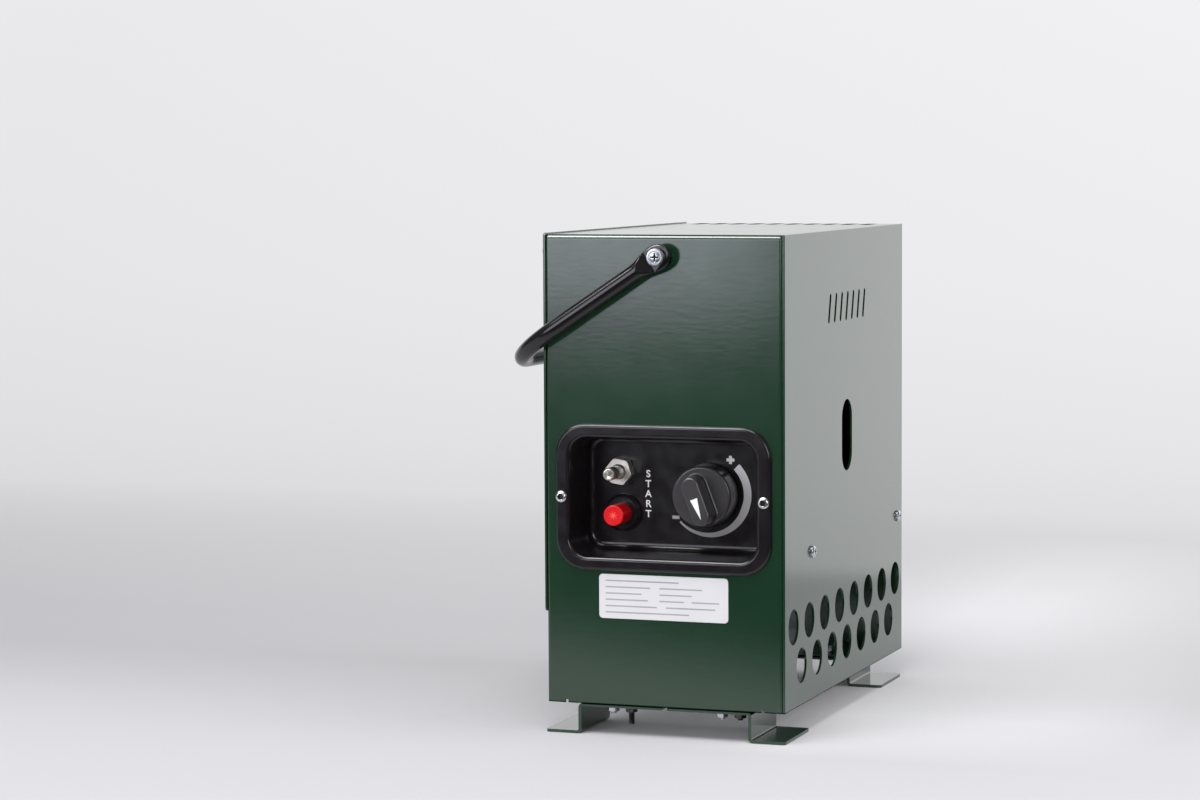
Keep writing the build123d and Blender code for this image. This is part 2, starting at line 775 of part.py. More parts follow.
def gas_inlet_nipple():
    """Turned hose nipple through the recess floor: bead, neck, root and thread, bored through."""
    tip = nipple_reach
    seat = inlet_washer_thickness + inlet_nut_thickness
    root = seat + nipple_root
    neck = tip - nipple_bead
    outline = Polyline((0, -inlet_rear - recess_wall), (inlet_thread / 2, -inlet_rear - recess_wall),
                       (inlet_thread / 2, seat), (nipple_diameter / 2, seat), (nipple_diameter / 2, root),
                       (nipple_neck / 2, root + nipple_cone), (nipple_neck / 2, neck),
                       (nipple_diameter / 2, neck + nipple_bead_edge),
                       (nipple_diameter / 2, tip - nipple_bead_edge),
                       (nipple_diameter / 2 - nipple_bead_edge, tip), (0, tip), close=True)
    turned = revolve(Plane.XZ * make_face(outline), Axis.Z)
    solid = facing_front(inlet_x, recess_floor, inlet_z).location * turned
    front_y = recess_floor - tip
    solid -= rod_y(inlet_x, inlet_z, front_y - over, inlet_back - pipe_insert + over, nipple_bore)
    solid -= rod_y(inlet_x, inlet_z, front_y - over, front_y + over, nipple_mouth)
    solid -= rod_y(inlet_x, inlet_z, inlet_back - pipe_insert, inlet_back + over,
                   pipe_diameter + 2 * running_gap)
    return solid


def inlet_nut():
    """Large nut on the front of the recess floor."""
    nut = hexagon(inlet_nut_flats, inlet_nut_thickness, inlet_thread, inlet_nut_edge)
    return towards((inlet_x, recess_floor - inlet_washer_thickness, inlet_z), (0, -1, 0)) \
        * Rot(0, 0, nut_turn) * nut


def inlet_washer_ring():
    """Washer under the large nut."""
    ring = rod_y(inlet_x, inlet_z, recess_floor - inlet_washer_thickness, recess_floor, inlet_washer)
    return ring - rod_y(inlet_x, inlet_z, recess_floor - inlet_washer_thickness - over,
                        recess_floor + over, inlet_thread + 2 * running_gap)


def inlet_locknut():
    """Nut behind the recess floor."""
    nut = hexagon(inlet_nut_flats, inlet_locknut_thickness, inlet_thread)
    return towards((inlet_x, recess_back, inlet_z), (0, 1, 0)) * nut


def inlet_pipe():
    """Gas pipe from the inlet to the side of the valve."""
    valve_side = knob_x - valve_width / 2 - port_length + pipe_insert
    y = valve_port_y
    span = valve_side - inlet_x
    return tube_along([(inlet_x, inlet_back - pipe_insert, inlet_z),
                       (inlet_x, y, inlet_z),
                       (inlet_x + span * 0.3, y, inlet_z),
                       (inlet_x + span * 0.66, y, knob_z),
                       (valve_side, y, knob_z)],
                      pipe_diameter, pipe_bend, pipe_diameter - 2 * pipe_wall)


def burner_pipe():
    """Gas pipe from below the valve, along the tray and up into the injector holder."""
    y = valve_port_y
    low_z = tray_top + pipe_diameter
    end_y = holder_front_y + holder_length / 2
    start_z = knob_z - valve_height / 2 - port_length + pipe_insert
    end_z = burner_z - holder_flats / 2 - port_length + pipe_insert
    return tube_along([(knob_x, y, start_z), (knob_x, y, low_z), (0, end_y, low_z), (0, end_y, end_z)],
                      pipe_diameter, pipe_bend, pipe_diameter - 2 * pipe_wall)


def pipe_nuts():
    """Union nuts at the four pipe ends."""
    nut = hexagon(pipe_nut_flats, pipe_nut_length, pipe_diameter)
    y = valve_port_y
    left = knob_x - valve_width / 2 - port_length
    below = knob_z - valve_height / 2 - port_length
    holder_y = holder_front_y + holder_length / 2
    holder_port = burner_z - holder_flats / 2 - port_length
    short = hexagon(pipe_nut_flats, pipe_nut_length / 2, pipe_diameter)
    return Compound([
        towards((inlet_x, inlet_back, inlet_z), (0, 1, 0)) * short,
        towards((left, y, knob_z), (-1, 0, 0)) * short,
        towards((knob_x, y, below), (0, 0, -1)) * nut,
        towards((0, holder_y, holder_port), (0, 0, -1)) * short])


def injector_holder():
    """Hexagonal block that carries the injector and the mixing tube."""
    prism = extrude(RegularPolygon(holder_flats / 2 / cos(pi / 6), 6), holder_length)
    prism = chamfer(prism.faces().sort_by(Axis.Z)[0].edges(), 0.8)
    solid = towards((0, holder_front_y, burner_z), (0, 1, 0)) * Rot(0, 0, 30) * prism
    spigot = mixing_bore - 2 * running_gap
    solid += rod_y(0, burner_z, holder_back - 1, holder_back + spigot_length, spigot)
    middle = holder_front_y + holder_length / 2
    low = burner_z - holder_flats / 2
    solid += rod_z(0, middle, low - port_length, low + 1, port_diameter)
    solid -= rod_z(0, middle, low - port_length - 1, burner_z, nipple_bore)
    solid -= rod_z(0, middle, low - port_length - 1, low - port_length + pipe_insert,
                   pipe_diameter + 2 * running_gap)
    solid -= rod_y(0, burner_z, middle, holder_back + spigot_length + 1, nipple_bore)
    return solid


def injector():
    """Small jet on the end of the holder."""
    start = holder_back + spigot_length
    jet = rod_y(0, burner_z, start, start + injector_length, injector_diameter)
    jet = chamfer(jet.edges().sort_by(Axis.Y)[-1], 1.5)
    return jet - rod_y(0, burner_z, start - 1, start + injector_length + 1, injector_bore)


def mixing_tube():
    """Tube with air windows between the injector and the burner."""
    outer = rod_y(0, burner_z, holder_back, burner_front, mixing_bore + 2 * mixing_wall)
    solid = outer - rod_y(0, burner_z, holder_back - over, burner_front + over, mixing_bore)
    window_y = holder_back + spigot_length + injector_length + air_window_gap
    half = air_window_width / 2
    reach = mixing_bore
    solid -= box(-reach, reach, window_y, window_y + air_window_length, burner_z - half, burner_z + half)
    return solid


def burner_tube():
    """Closed burner tube with a row of flame ports along its top."""
    outer = rod_y(0, burner_z, burner_front, burner_front + burner_length, burner_diameter)
    hollow = rod_y(0, burner_z, burner_front + burner_wall, burner_front + burner_length - burner_wall,
                   burner_diameter - 2 * burner_wall)
    solid = outer - hollow
    solid -= rod_y(0, burner_z, burner_front - 1, burner_front + 3, mixing_bore)
    middle = burner_front + burner_length / 2
    top = burner_z + burner_diameter / 2
    for i in range(port_slot_count):
        y = middle + (i - (port_slot_count - 1) / 2) * port_slot_pitch
        solid -= box(-port_slot_across / 2, port_slot_across / 2, y - port_slot_width / 2,
                     y + port_slot_width / 2, top - port_slot_depth, top + 1)
    return solid


def burner_brackets():
    """Two saddles that carry the burner tube over the tray's opening."""
    placed = []
    fit = burner_diameter / 2 + running_gap
    for y in (burner_front + bracket_front_gap, burner_front + burner_length - bracket_back_gap):
        bracket_half = tray_opening_half + bracket_reach
        upright = box(-bracket_half, bracket_half, y, y + bracket_sheet, tray_top, burner_z)
        upright -= rod_y(0, burner_z, y - over, y + bracket_sheet + over, 2 * fit)
        for sign in (-1, 1):
            outer_x = sign * bracket_half
            inner_x = sign * (tray_opening_half + over)
            upright += box(inner_x, outer_x, y, y + bracket_foot, tray_top, tray_top + bracket_sheet)
        placed.append(upright)
    return Compound(placed)


def chassis_tray():
    """Inner tray across the housing, flanged up to both sides, open under the burner."""
    left = -shell_half + sheet
    right = shell_half
    y0 = front + sheet
    y1 = half_depth - sheet
    tray = box(left, right, y0, y1, tray_z, tray_top)
    tray += box(left, left + tray_sheet, y0, y1, tray_z, tray_z + tray_flange)
    tray += box(right - tray_sheet, right, front + side_flange_right, half_depth - side_flange_right,
                tray_z, tray_z + tray_flange)
    for end in (-1, 1):
        inner_y = end * (half_depth - side_flange_right)
        tray -= box(shell_half - sheet, right + 1, inner_y, end * half_depth, tray_z - 1, tray_top + 1)
    opening_middle = (firebox_front + firebox_back) / 2
    opening_length = firebox_back - firebox_front - 2 * tray_opening_margin
    opening = Pos(0, opening_middle, tray_z - over) * RectangleRounded(
        2 * tray_opening_half, opening_length, tray_corner)
    tray -= extrude(opening, tray_sheet + 2)
    for y in (side_screw_front_y, side_screw_back_y):
        tray -= rod_x(y, side_screw_z, right - tray_sheet - 1, right + 1, m4_clearance)
    return tray


def front_holes(y, thickness):
    """Holes in a cross sheet for the mixing tube, the electrode and the probe."""
    reach = (y - 1, y + thickness + 1)
    holes = rod_y(0, burner_z, *reach, mixing_bore + 2 * mixing_wall + 2 * sheet_hole_gap)
    holes += rod_y(-spark_offset, spark_z, *reach, ceramic_diameter + 2 * running_gap)
    holes += rod_y(spark_offset, spark_z, *reach, probe_diameter + 2 * running_gap)
    return holes


def heat_shield():
    """Cross sheet between the controls and the firebox."""
    sheet_plate = box(-shield_half, shield_half, shield_y, shield_y + shield_sheet, tray_top, shield_top)
    foot_strip = box(-shield_half, shield_half, shield_y - shield_foot, shield_y, tray_top,
                     tray_top + shield_sheet)
    foot_strip -= box(-shield_notch, shield_notch, shield_y - shield_foot - over, shield_y,
                      tray_top - over, tray_top + shield_sheet + over)
    return sheet_plate + foot_strip - front_holes(shield_y, shield_sheet)


def firebox():
    """Open box around the flame, with a window level with the viewing slot."""
    t = shield_sheet
    outer = box(-firebox_half, firebox_half, firebox_front, firebox_back, tray_top, firebox_top)
    outer = fillet(outer.edges().filter_by(Axis.Z), firebox_corner)
    inner = box(-firebox_half + t, firebox_half - t, firebox_front + t, firebox_back - t,
                tray_top - 1, firebox_top + 1)
    inner = fillet(inner.edges().filter_by(Axis.Z), firebox_corner - t)
    solid = outer - inner
    window = Plane(origin=(firebox_half - t - 1, 0, view_slot_z), x_dir=(0, 1, 0), z_dir=(1, 0, 0)) \
        * SlotOverall(window_height, window_width, 90)
    solid -= extrude(window, t + 2)
    return solid - front_holes(firebox_front, t)


def piezo_body():
    """Igniter barrel with its collar, bored for the button."""
    collar = rod_y(piezo_x, piezo_z, recess_floor - piezo_collar_thickness, recess_floor, piezo_collar)
    collar = chamfer(collar.edges().sort_by(Axis.Y)[0], piezo_collar_chamfer)
    sleeve_face = recess_floor - piezo_collar_thickness - piezo_sleeve_proud
    collar += rod_y(piezo_x, piezo_z, sleeve_face, recess_floor, piezo_sleeve)
    barrel = rod_y(piezo_x, piezo_z, recess_floor, piezo_back, piezo_barrel)
    tab = rod_y(piezo_x, piezo_z, piezo_back, piezo_back + piezo_tab_length, piezo_tab)
    bore = rod_y(piezo_x, piezo_z, sleeve_face - over, piezo_bore_end,
                 button_diameter + 2 * running_gap)
    socket = rod_y(piezo_x, piezo_z, piezo_back + piezo_tab_length - pipe_insert,
                   piezo_back + piezo_tab_length + 1, lead_diameter + 2 * running_gap)
    return collar + barrel + tab - bore - socket


def piezo_ring_nut():
    """Round nut behind the recess floor that holds the igniter."""
    ring = rod_y(piezo_x, piezo_z, recess_back, recess_back + piezo_nut_thickness, piezo_nut)
    return ring - rod_y(piezo_x, piezo_z, recess_back - over, recess_back + piezo_nut_thickness + over,
                        piezo_barrel + 2 * running_gap)


def piezo_button():
    """Red push button with a rounded edge."""
    cap = rod_y(piezo_x, piezo_z, button_face, button_back, button_diameter)
    return fillet(cap.edges().sort_by(Axis.Y)[0], button_edge)


def spark_electrode():
    """Ceramic rod with its spark wire."""
    back = ceramic_front + ceramic_length
    ceramic = rod_y(-spark_offset, spark_z, ceramic_front, back, ceramic_diameter)
    ceramic = chamfer(ceramic.edges().sort_by(Axis.Y)[-1], 1.0)
    wire = rod_y(-spark_offset, spark_z, back - 1, back + electrode_tip, electrode_wire)
    socket = rod_y(-spark_offset, spark_z, ceramic_front - 1, ceramic_front + pipe_insert,
                   lead_diameter + 2 * running_gap)
    return ceramic + wire - socket


def piezo_lead():
    """Ignition lead from the igniter to the electrode."""
    start = piezo_back + piezo_tab_length - pipe_insert + 1
    end = ceramic_front + pipe_insert - 1
    run = end - start
    straight = run * lead_straight_share
    return tube_along([(piezo_x, start, piezo_z), (piezo_x, start + straight, piezo_z),
                       (-spark_offset, end - straight, spark_z), (-spark_offset, end, spark_z)],
                      lead_diameter, lead_bend)


def thermocouple():
    """Flame probe with its thin lead back to the valve."""
    probe = rod_y(spark_offset, spark_z, probe_front, probe_front + probe_length, probe_diameter)
    probe = fillet(probe.edges().sort_by(Axis.Y)[-1], 1.2)
    x = knob_x + probe_port_offset
    z = knob_z - probe_port_offset
    start = valve_back + probe_port_length - pipe_insert + 1
    end = probe_front + 1
    run = end - start
    straight = run * lead_straight_share
    lead = tube_along([(x, start, z), (x, start + straight, z),
                       (spark_offset, end - straight, spark_z), (spark_offset, end, spark_z)],
                      capillary_diameter, capillary_bend)
    return probe + lead


def handle_arm_end():
    """Flattened eye and the taper into the round tube, along +X from the pivot."""
    width = eye_width
    bar = extrude(Plane.YZ * RectangleRounded(eye_thickness, width, eye_edge), eye_neck)
    disc = Rot(90, 0, 0) * Cylinder(width / 2, eye_thickness)
    disc = fillet(disc.edges().filter_by(GeomType.CIRCLE), eye_edge)
    wide = Plane(origin=(eye_neck, 0, 0), x_dir=(0, 1, 0), z_dir=(1, 0, 0)) \
        * RectangleRounded(eye_thickness, width, eye_edge)
    round_end = Plane(origin=(eye_neck + eye_taper, 0, 0), x_dir=(0, 1, 0), z_dir=(1, 0, 0)) \
        * RectangleRounded(handle_tube, handle_tube, handle_tube / 2 - near)
    taper = loft([wide, round_end])
    end = disc + bar + taper
    bore = Rot(90, 0, 0) * Cylinder(spigot_diameter / 2 + running_gap, 3 * eye_thickness)
    return end - bore


def handle():
    """Bail handle, drawn along +X and turned about the pivots to where it rests."""
    plane_y = half_depth + handle_standoff
    start = eye_neck + eye_taper - 0.5
    route = FilletPolyline((start, -plane_y, 0), (handle_reach, -plane_y, 0),
                           (handle_reach, plane_y, 0), (start, plane_y, 0), radius=handle_bend)
    section = Plane(origin=route @ 0, z_dir=route % 0) * Circle(handle_tube / 2)
    bail = sweep(section, path=route)
    area = pi / 4 * handle_tube ** 2
    print(f"handle: volume {bail.volume:.1f}, section times length {area * route.length:.1f}")
    end = handle_arm_end()
    bail += Pos(0, -plane_y, 0) * end
    bail += Pos(0, plane_y, 0) * end
    return Pos(0, 0, pivot_z) * Rot(0, 180 - handle_rest_angle, 0) * bail


def handle_bushes():
    """Stepped bushes that carry the eyes clear of the housing."""
    placed = []
    for end in (-1, 1):
        flange = rod_y(0, pivot_z, end * half_depth, end * (eye_inner - end_gap), bush_flange)
        spigot = rod_y(0, pivot_z, end * half_depth, end * (eye_outer + end_gap), spigot_diameter)
        bore = rod_y(0, pivot_z, end * (half_depth - 1), end * (eye_outer + 2), m6_clearance)
        placed.append(flange + spigot - bore)
    return Compound(placed)


def handle_screws():
    """Pivot screws of the handle."""
    length = eye_outer + end_gap - half_depth + sheet + m6_nut_height + screw_grip_spare
    screw = round_screw(m6_head, m6_head_height, m6_thread, length)
    return Compound([towards((0, end * (eye_outer + end_gap), pivot_z), (0, end, 0)) * screw
                     for end in (-1, 1)])


def handle_nuts():
    """Nuts inside the housing on the pivot screws."""
    nut = hexagon(m6_nut_flats, m6_nut_height, m6_thread)
    return Compound([towards((0, end * (half_depth - sheet), pivot_z), (0, -end, 0)) * nut
                     for end in (-1, 1)])


pieces = {
    "body_shell": body_shell,
    "right_side_panel": right_side_panel,
    "left_cover": left_cover,
    "foot_front_left": lambda: foot(-1, -1),
    "foot_front_right": lambda: foot(1, -1),
    "foot_rear_left": lambda: foot(-1, 1),
    "foot_rear_right": lambda: foot(1, 1),
    "foot_screws": foot_screws,
    "foot_nuts": foot_nuts,
    "foot_studs": foot_studs,
    "foot_stud_nuts": foot_stud_nuts,
    "cover_screws": cover_screws,
    "cover_nuts": cover_nuts,
    "side_screws": side_screws,
    "side_nuts": side_nuts,
    "control_recess": control_recess,
    "bezel_screws": bezel_screws,
    "bezel_nuts": bezel_nuts,
    "label_plate": label_plate,
    "knob": knob,
    "valve_spindle": valve_spindle,
    "valve_plunger": valve_plunger,
    "valve_body": valve_body,
    "valve_ring_nut": valve_ring_nut,
    "gas_inlet_nipple": gas_inlet_nipple,
    "inlet_nut": inlet_nut,
    "inlet_washer": inlet_washer_ring,
    "inlet_locknut": inlet_locknut,
    "inlet_pipe": inlet_pipe,
    "burner_pipe": burner_pipe,
    "pipe_nuts": pipe_nuts,
    "injector_holder": injector_holder,
    "injector": injector,
    "mixing_tube": mixing_tube,
    "burner_tube": burner_tube,
    "burner_brackets": burner_brackets,
    "chassis_tray": chassis_tray,
    "heat_shield": heat_shield,
    "firebox": firebox,
    "piezo_body": piezo_body,
    "piezo_ring_nut": piezo_ring_nut,
    "piezo_button": piezo_button,
    "spark_electrode": spark_electrode,
    "piezo_lead": piezo_lead,
    "thermocouple": thermocouple,
    "handle": handle,
    "handle_bushes": handle_bushes,
    "handle_screws": handle_screws,
    "handle_nuts": handle_nuts,
}

os.makedirs("parts", exist_ok=True)
for name, make in pieces.items():
    export_step(Pos(-origin_x, 0, 0) * make(), f"parts/{name}.step")
print(f"origin is {origin_x:.3f} mm to the right of the middle of the housing")
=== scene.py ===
import json
from functools import partial
from math import cos, pi, radians, sin, sqrt

import bmesh
import bpy
from mathutils import Matrix, Vector

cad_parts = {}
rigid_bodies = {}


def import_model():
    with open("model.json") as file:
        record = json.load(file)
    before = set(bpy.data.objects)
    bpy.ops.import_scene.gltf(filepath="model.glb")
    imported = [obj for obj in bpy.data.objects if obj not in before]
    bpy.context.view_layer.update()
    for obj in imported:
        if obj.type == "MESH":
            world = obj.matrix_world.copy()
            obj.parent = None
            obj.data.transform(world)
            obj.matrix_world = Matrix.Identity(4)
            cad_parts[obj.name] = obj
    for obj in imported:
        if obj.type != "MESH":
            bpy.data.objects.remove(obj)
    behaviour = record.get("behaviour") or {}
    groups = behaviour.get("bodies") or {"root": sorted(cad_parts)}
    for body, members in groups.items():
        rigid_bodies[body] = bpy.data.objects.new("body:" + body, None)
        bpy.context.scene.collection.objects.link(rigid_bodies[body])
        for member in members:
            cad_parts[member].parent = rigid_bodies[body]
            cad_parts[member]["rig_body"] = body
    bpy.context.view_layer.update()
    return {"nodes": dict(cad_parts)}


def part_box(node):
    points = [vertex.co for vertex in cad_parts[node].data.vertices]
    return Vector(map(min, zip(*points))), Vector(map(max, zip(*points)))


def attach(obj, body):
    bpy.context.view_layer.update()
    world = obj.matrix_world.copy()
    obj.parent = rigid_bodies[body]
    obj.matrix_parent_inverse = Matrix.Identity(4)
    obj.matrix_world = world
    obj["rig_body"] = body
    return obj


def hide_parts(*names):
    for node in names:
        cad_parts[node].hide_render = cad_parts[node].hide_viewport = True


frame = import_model()
nodes = frame["nodes"]
MM = 0.001


def middle_of(node):
    """Middle of a node's box along X, Y and Z."""
    low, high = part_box(node)
    return [(a + b) / 2 for a, b in zip(low, high)]


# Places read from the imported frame
shell_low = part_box("body_shell")[0]
knob_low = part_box("knob")[0]
button_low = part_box("piezo_button")[0]
label_low, label_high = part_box("label_plate")
floor_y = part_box("inlet_washer")[1].y
body_x = middle_of("body_shell")[0]
knob_x, _, knob_z = middle_of("valve_spindle")
button_x, _, button_z = middle_of("piezo_button")

# Camera, measured against the photograph
CAMERA_PLACE = (677.2 * MM + body_x, -2138.1 * MM, 381.9 * MM)
CAMERA_YAW = 0.3465
CAMERA_PITCH = 0.0777
CAMERA_ROLL = -0.0054
FOCAL_PIXELS = 3316.59
PHOTO_WIDTH = 1200
SENSOR = 36.0
CLIP_START = 0.05
CLIP_END = 60


def put_in_scene(name, data):
    """New object with the given data, linked to the scene."""
    item = bpy.data.objects.new(name, data)
    bpy.context.collection.objects.link(item)
    return item


def make_camera():
    """Camera at the photograph's place, turned by yaw, pitch and roll."""
    forward = Vector((-sin(CAMERA_YAW), cos(CAMERA_YAW), 0))
    right = Vector((cos(CAMERA_YAW), sin(CAMERA_YAW), 0))
    up = Vector((0, 0, 1))
    ahead = forward * cos(CAMERA_PITCH) - up * sin(CAMERA_PITCH)
    level_up = up * cos(CAMERA_PITCH) + forward * sin(CAMERA_PITCH)
    side = right * cos(CAMERA_ROLL) + level_up * sin(CAMERA_ROLL)
    top = level_up * cos(CAMERA_ROLL) - right * sin(CAMERA_ROLL)
    data = bpy.data.cameras.new("camera")
    data.sensor_width = SENSOR
    data.sensor_fit = "HORIZONTAL"
    data.lens = FOCAL_PIXELS * SENSOR / PHOTO_WIDTH
    data.clip_start = CLIP_START
    data.clip_end = CLIP_END
    camera = put_in_scene("camera", data)
    turn = Matrix((side, top, -ahead)).transposed().to_4x4()
    camera.matrix_world = Matrix.Translation(CAMERA_PLACE) @ turn
    bpy.context.scene.camera = camera


def new_material(name, colour, roughness, metallic=0.0, ior=1.5):
    """Material with a Principled shader; returns the material and its shader."""
    material = bpy.data.materials.new(name)
    material.use_nodes = True
    shader = material.node_tree.nodes["Principled BSDF"]
    shader.inputs["Base Color"].default_value = (*colour, 1)
    shader.inputs["Roughness"].default_value = roughness
    shader.inputs["Metallic"].default_value = metallic
    shader.inputs["IOR"].default_value = ior
    return material, shader


def add_node(owner, kind, **settings):
    """New node of a material or world, with its attributes or input values set."""
    node = owner.node_tree.nodes.new(kind)
    for key, value in settings.items():
        if key in node.inputs:
            node.inputs[key].default_value = value
        else:
            setattr(node, key, value)
    return node


def join(owner, source, target):
    """Link between two sockets of a material or world."""
    owner.node_tree.links.new(source, target)


def calculate(owner, operation, *terms):
    """Result of a Math node whose terms are numbers or sockets."""
    node = add_node(owner, "ShaderNodeMath", operation=operation)
    for place, term in zip(node.inputs, terms):
        if isinstance(term, (int, float)):
            place.default_value = term
        else:
            join(owner, term, place)
    return node.outputs[0]


def split(material, where):
    """Sockets of a place's X, Y and Z."""
    node = add_node(material, "ShaderNodeSeparateXYZ")
    join(material, where, node.inputs[0])
    return node.outputs


def scaled(material, colour, factor):
    """Colour times a factor; both are sockets."""
    node = add_node(material, "ShaderNodeVectorMath", operation="SCALE")
    join(material, colour, node.inputs[0])
    join(material, factor, node.inputs["Scale"])
    return node.outputs[0]


def place_coordinates(material, stretch=(1, 1, 1)):
    """Coordinates in metres on the object, stretched if asked."""
    source = add_node(material, "ShaderNodeTexCoord")
    mapping = add_node(material, "ShaderNodeMapping", Scale=stretch)
    join(material, source.outputs["Object"], mapping.inputs["Vector"])
    return mapping.outputs["Vector"]


def noise(material, where, scale, detail=2.0, rough=0.5):
    """Noise texture at a scale in features per metre."""
    node = add_node(material, "ShaderNodeTexNoise", Scale=scale, Detail=detail, Roughness=rough)
    join(material, where, node.inputs["Vector"])
    return node.outputs["Fac"]


def ramp(material, value, low, high, start, end):
    """Value from start to end as the input goes from low to high."""
    node = add_node(material, "ShaderNodeMapRange",
                    **{"From Min": low, "From Max": high, "To Min": start, "To Max": end})
    join(material, value, node.inputs["Value"])
    return node.outputs["Result"]


def blend_colours(material, factor, first, second):
    """Mix of two colours by a factor."""
    node = add_node(material, "ShaderNodeMix", data_type="RGBA")
    for letter, colour in (("A", first), ("B", second)):
        socket = [i for i in node.inputs if i.name == letter and i.type == "RGBA"][0]
        socket.default_value = (*colour, 1)
    join(material, factor, node.inputs["Factor"])
    return [o for o in node.outputs if o.type == "RGBA"][0]


def bump(material, shader, height, distance, after=None):
    """Bump from a height of the given depth in metres, on top of an earlier bump."""
    node = add_node(material, "ShaderNodeBump", Strength=1.0, Distance=distance)
    join(material, height, node.inputs["Height"])
    if after is not None:
        join(material, after, node.inputs["Normal"])
    join(material, node.outputs["Normal"], shader.inputs["Normal"])
    return node.outputs["Normal"]


# Part of a noise's range over which tones and gloss change
NOISE_LOW = 0.3
NOISE_HIGH = 0.7


def tones(material, pattern, dark, light, low=NOISE_LOW, high=NOISE_HIGH):
    """Colour that goes from dark to light with a noise pattern."""
    return blend_colours(material, ramp(material, pattern, low, high, 0, 1), dark, light)


def uneven_gloss(material, shader, pattern, roughness, spread):
    """Roughness that strays from its middle by a spread with a noise pattern."""
    strayed = ramp(material, pattern, NOISE_LOW, NOISE_HIGH, roughness - spread, roughness + spread)
    join(material, strayed, shader.inputs["Roughness"])


# Noise patterns: features per metre, detail and, where given, roughness
COAT_CLOUD = (14, 3)
COAT_CLOUD_RANGE = (0.35, 0.65)
COAT_GLOSS = (60, 3)
COAT_GLOSS_SPREAD = 0.01
COAT_RIPPLE = (430, 1.5, 0.4)
COAT_RIPPLE_STRETCH = (0.28, 0.28, 1.0)
COAT_GRAIN = (1900, 2)
COAT_GRAIN_SHARE = 0.05
GAP_SHADE_REACH = (0.45 * MM, 0.85 * MM)
GAP_SHADE_TONE = 0.12
PLAIN_SPECULAR = 0.5


def powder_coat(name, light, dark, roughness, peel, ior, shaded_gap_height=None):
    """Powder coat: orange peel, a fine grain and uneven gloss; painted shade, dark and dull, in a
    thin band at a given height where the body meets the feet.
    """
    material, shader = new_material(name, light, roughness, ior=ior)
    where = place_coordinates(material)
    colour = tones(material, noise(material, where, *COAT_CLOUD), dark, light, *COAT_CLOUD_RANGE)
    # Painted shade: a thin dark, dull band stands for the shadow in the gap between body and feet.
    if shaded_gap_height is not None:
        above = calculate(material, "SUBTRACT", split(material, where)["Z"], shaded_gap_height)
        away = calculate(material, "ABSOLUTE", above)
        join(material, ramp(material, away, *GAP_SHADE_REACH, 0.0, PLAIN_SPECULAR),
             shader.inputs["Specular IOR Level"])
        colour = scaled(material, colour, ramp(material, away, *GAP_SHADE_REACH, GAP_SHADE_TONE, 1.0))
    join(material, colour, shader.inputs["Base Color"])
    uneven_gloss(material, shader, noise(material, where, *COAT_GLOSS), roughness,
                 COAT_GLOSS_SPREAD)
    stretched = place_coordinates(material, COAT_RIPPLE_STRETCH)
    waves = bump(material, shader, noise(material, stretched, *COAT_RIPPLE), peel)
    bump(material, shader, noise(material, where, *COAT_GRAIN), peel * COAT_GRAIN_SHARE,
         after=waves)
    return material


PLASTIC_TONES = (40, 4)
PLASTIC_GLOSS = (90, 3)
PLASTIC_GLOSS_SPREAD = 0.05
PLASTIC_GRAIN = (1500, 3, 0.7)
PLASTIC_IOR = 1.46
POLISH_ROUGHNESS = 0.12


def moulded_plastic(name, light, dark, roughness, grain, ior=PLASTIC_IOR, polish=0.0):
    """Moulded plastic with a fine spark-eroded grain and, where polished, a thin clear sheen."""
    material, shader = new_material(name, light, roughness, ior=ior)
    where = place_coordinates(material)
    join(material, tones(material, noise(material, where, *PLASTIC_TONES), dark, light),
         shader.inputs["Base Color"])
    uneven_gloss(material, shader, noise(material, where, *PLASTIC_GLOSS), roughness,
                 PLASTIC_GLOSS_SPREAD)
    bump(material, shader, noise(material, where, *PLASTIC_GRAIN), grain)
    shader.inputs["Coat Weight"].default_value = polish
    shader.inputs["Coat Roughness"].default_value = POLISH_ROUGHNESS
    return material


PRINT_ROUGHNESS = 0.5
PRINT_SPECKLE = (700, 2)
PRINT_SPECKLE_SHARE = 0.16


def faded_print(name, light, dark, low, high):
    """Print that is dark at a low height and light at a high one."""
    material, shader = new_material(name, light, PRINT_ROUGHNESS, ior=PLASTIC_IOR)
    where = place_coordinates(material)
    height = ramp(material, split(material, where)["Z"], low, high, 0, 1)
    uneven = calculate(material, "MULTIPLY_ADD", noise(material, where, *PRINT_SPECKLE),
                       PRINT_SPECKLE_SHARE, height)
    join(material, blend_colours(material, uneven, dark, light), shader.inputs["Base Color"])
    return material


METAL_MARKS = (3, 0.6)
METAL_GLOSS_SCALE = 0.4
METAL_GLOSS_SPREAD = 0.07


def metal(name, light, dark, roughness, depth=2e-6, scale=500):
    """Metal with fine marks in its tone, gloss and surface."""
    material, shader = new_material(name, light, roughness, metallic=1.0)
    where = place_coordinates(material)
    marks = noise(material, where, scale, *METAL_MARKS)
    join(material, tones(material, marks, dark, light), shader.inputs["Base Color"])
    uneven_gloss(material, shader, noise(material, where, scale * METAL_GLOSS_SCALE), roughness,
                 METAL_GLOSS_SPREAD)
    bump(material, shader, marks, depth)
    return material


DIAL_FADE = 26 * MM

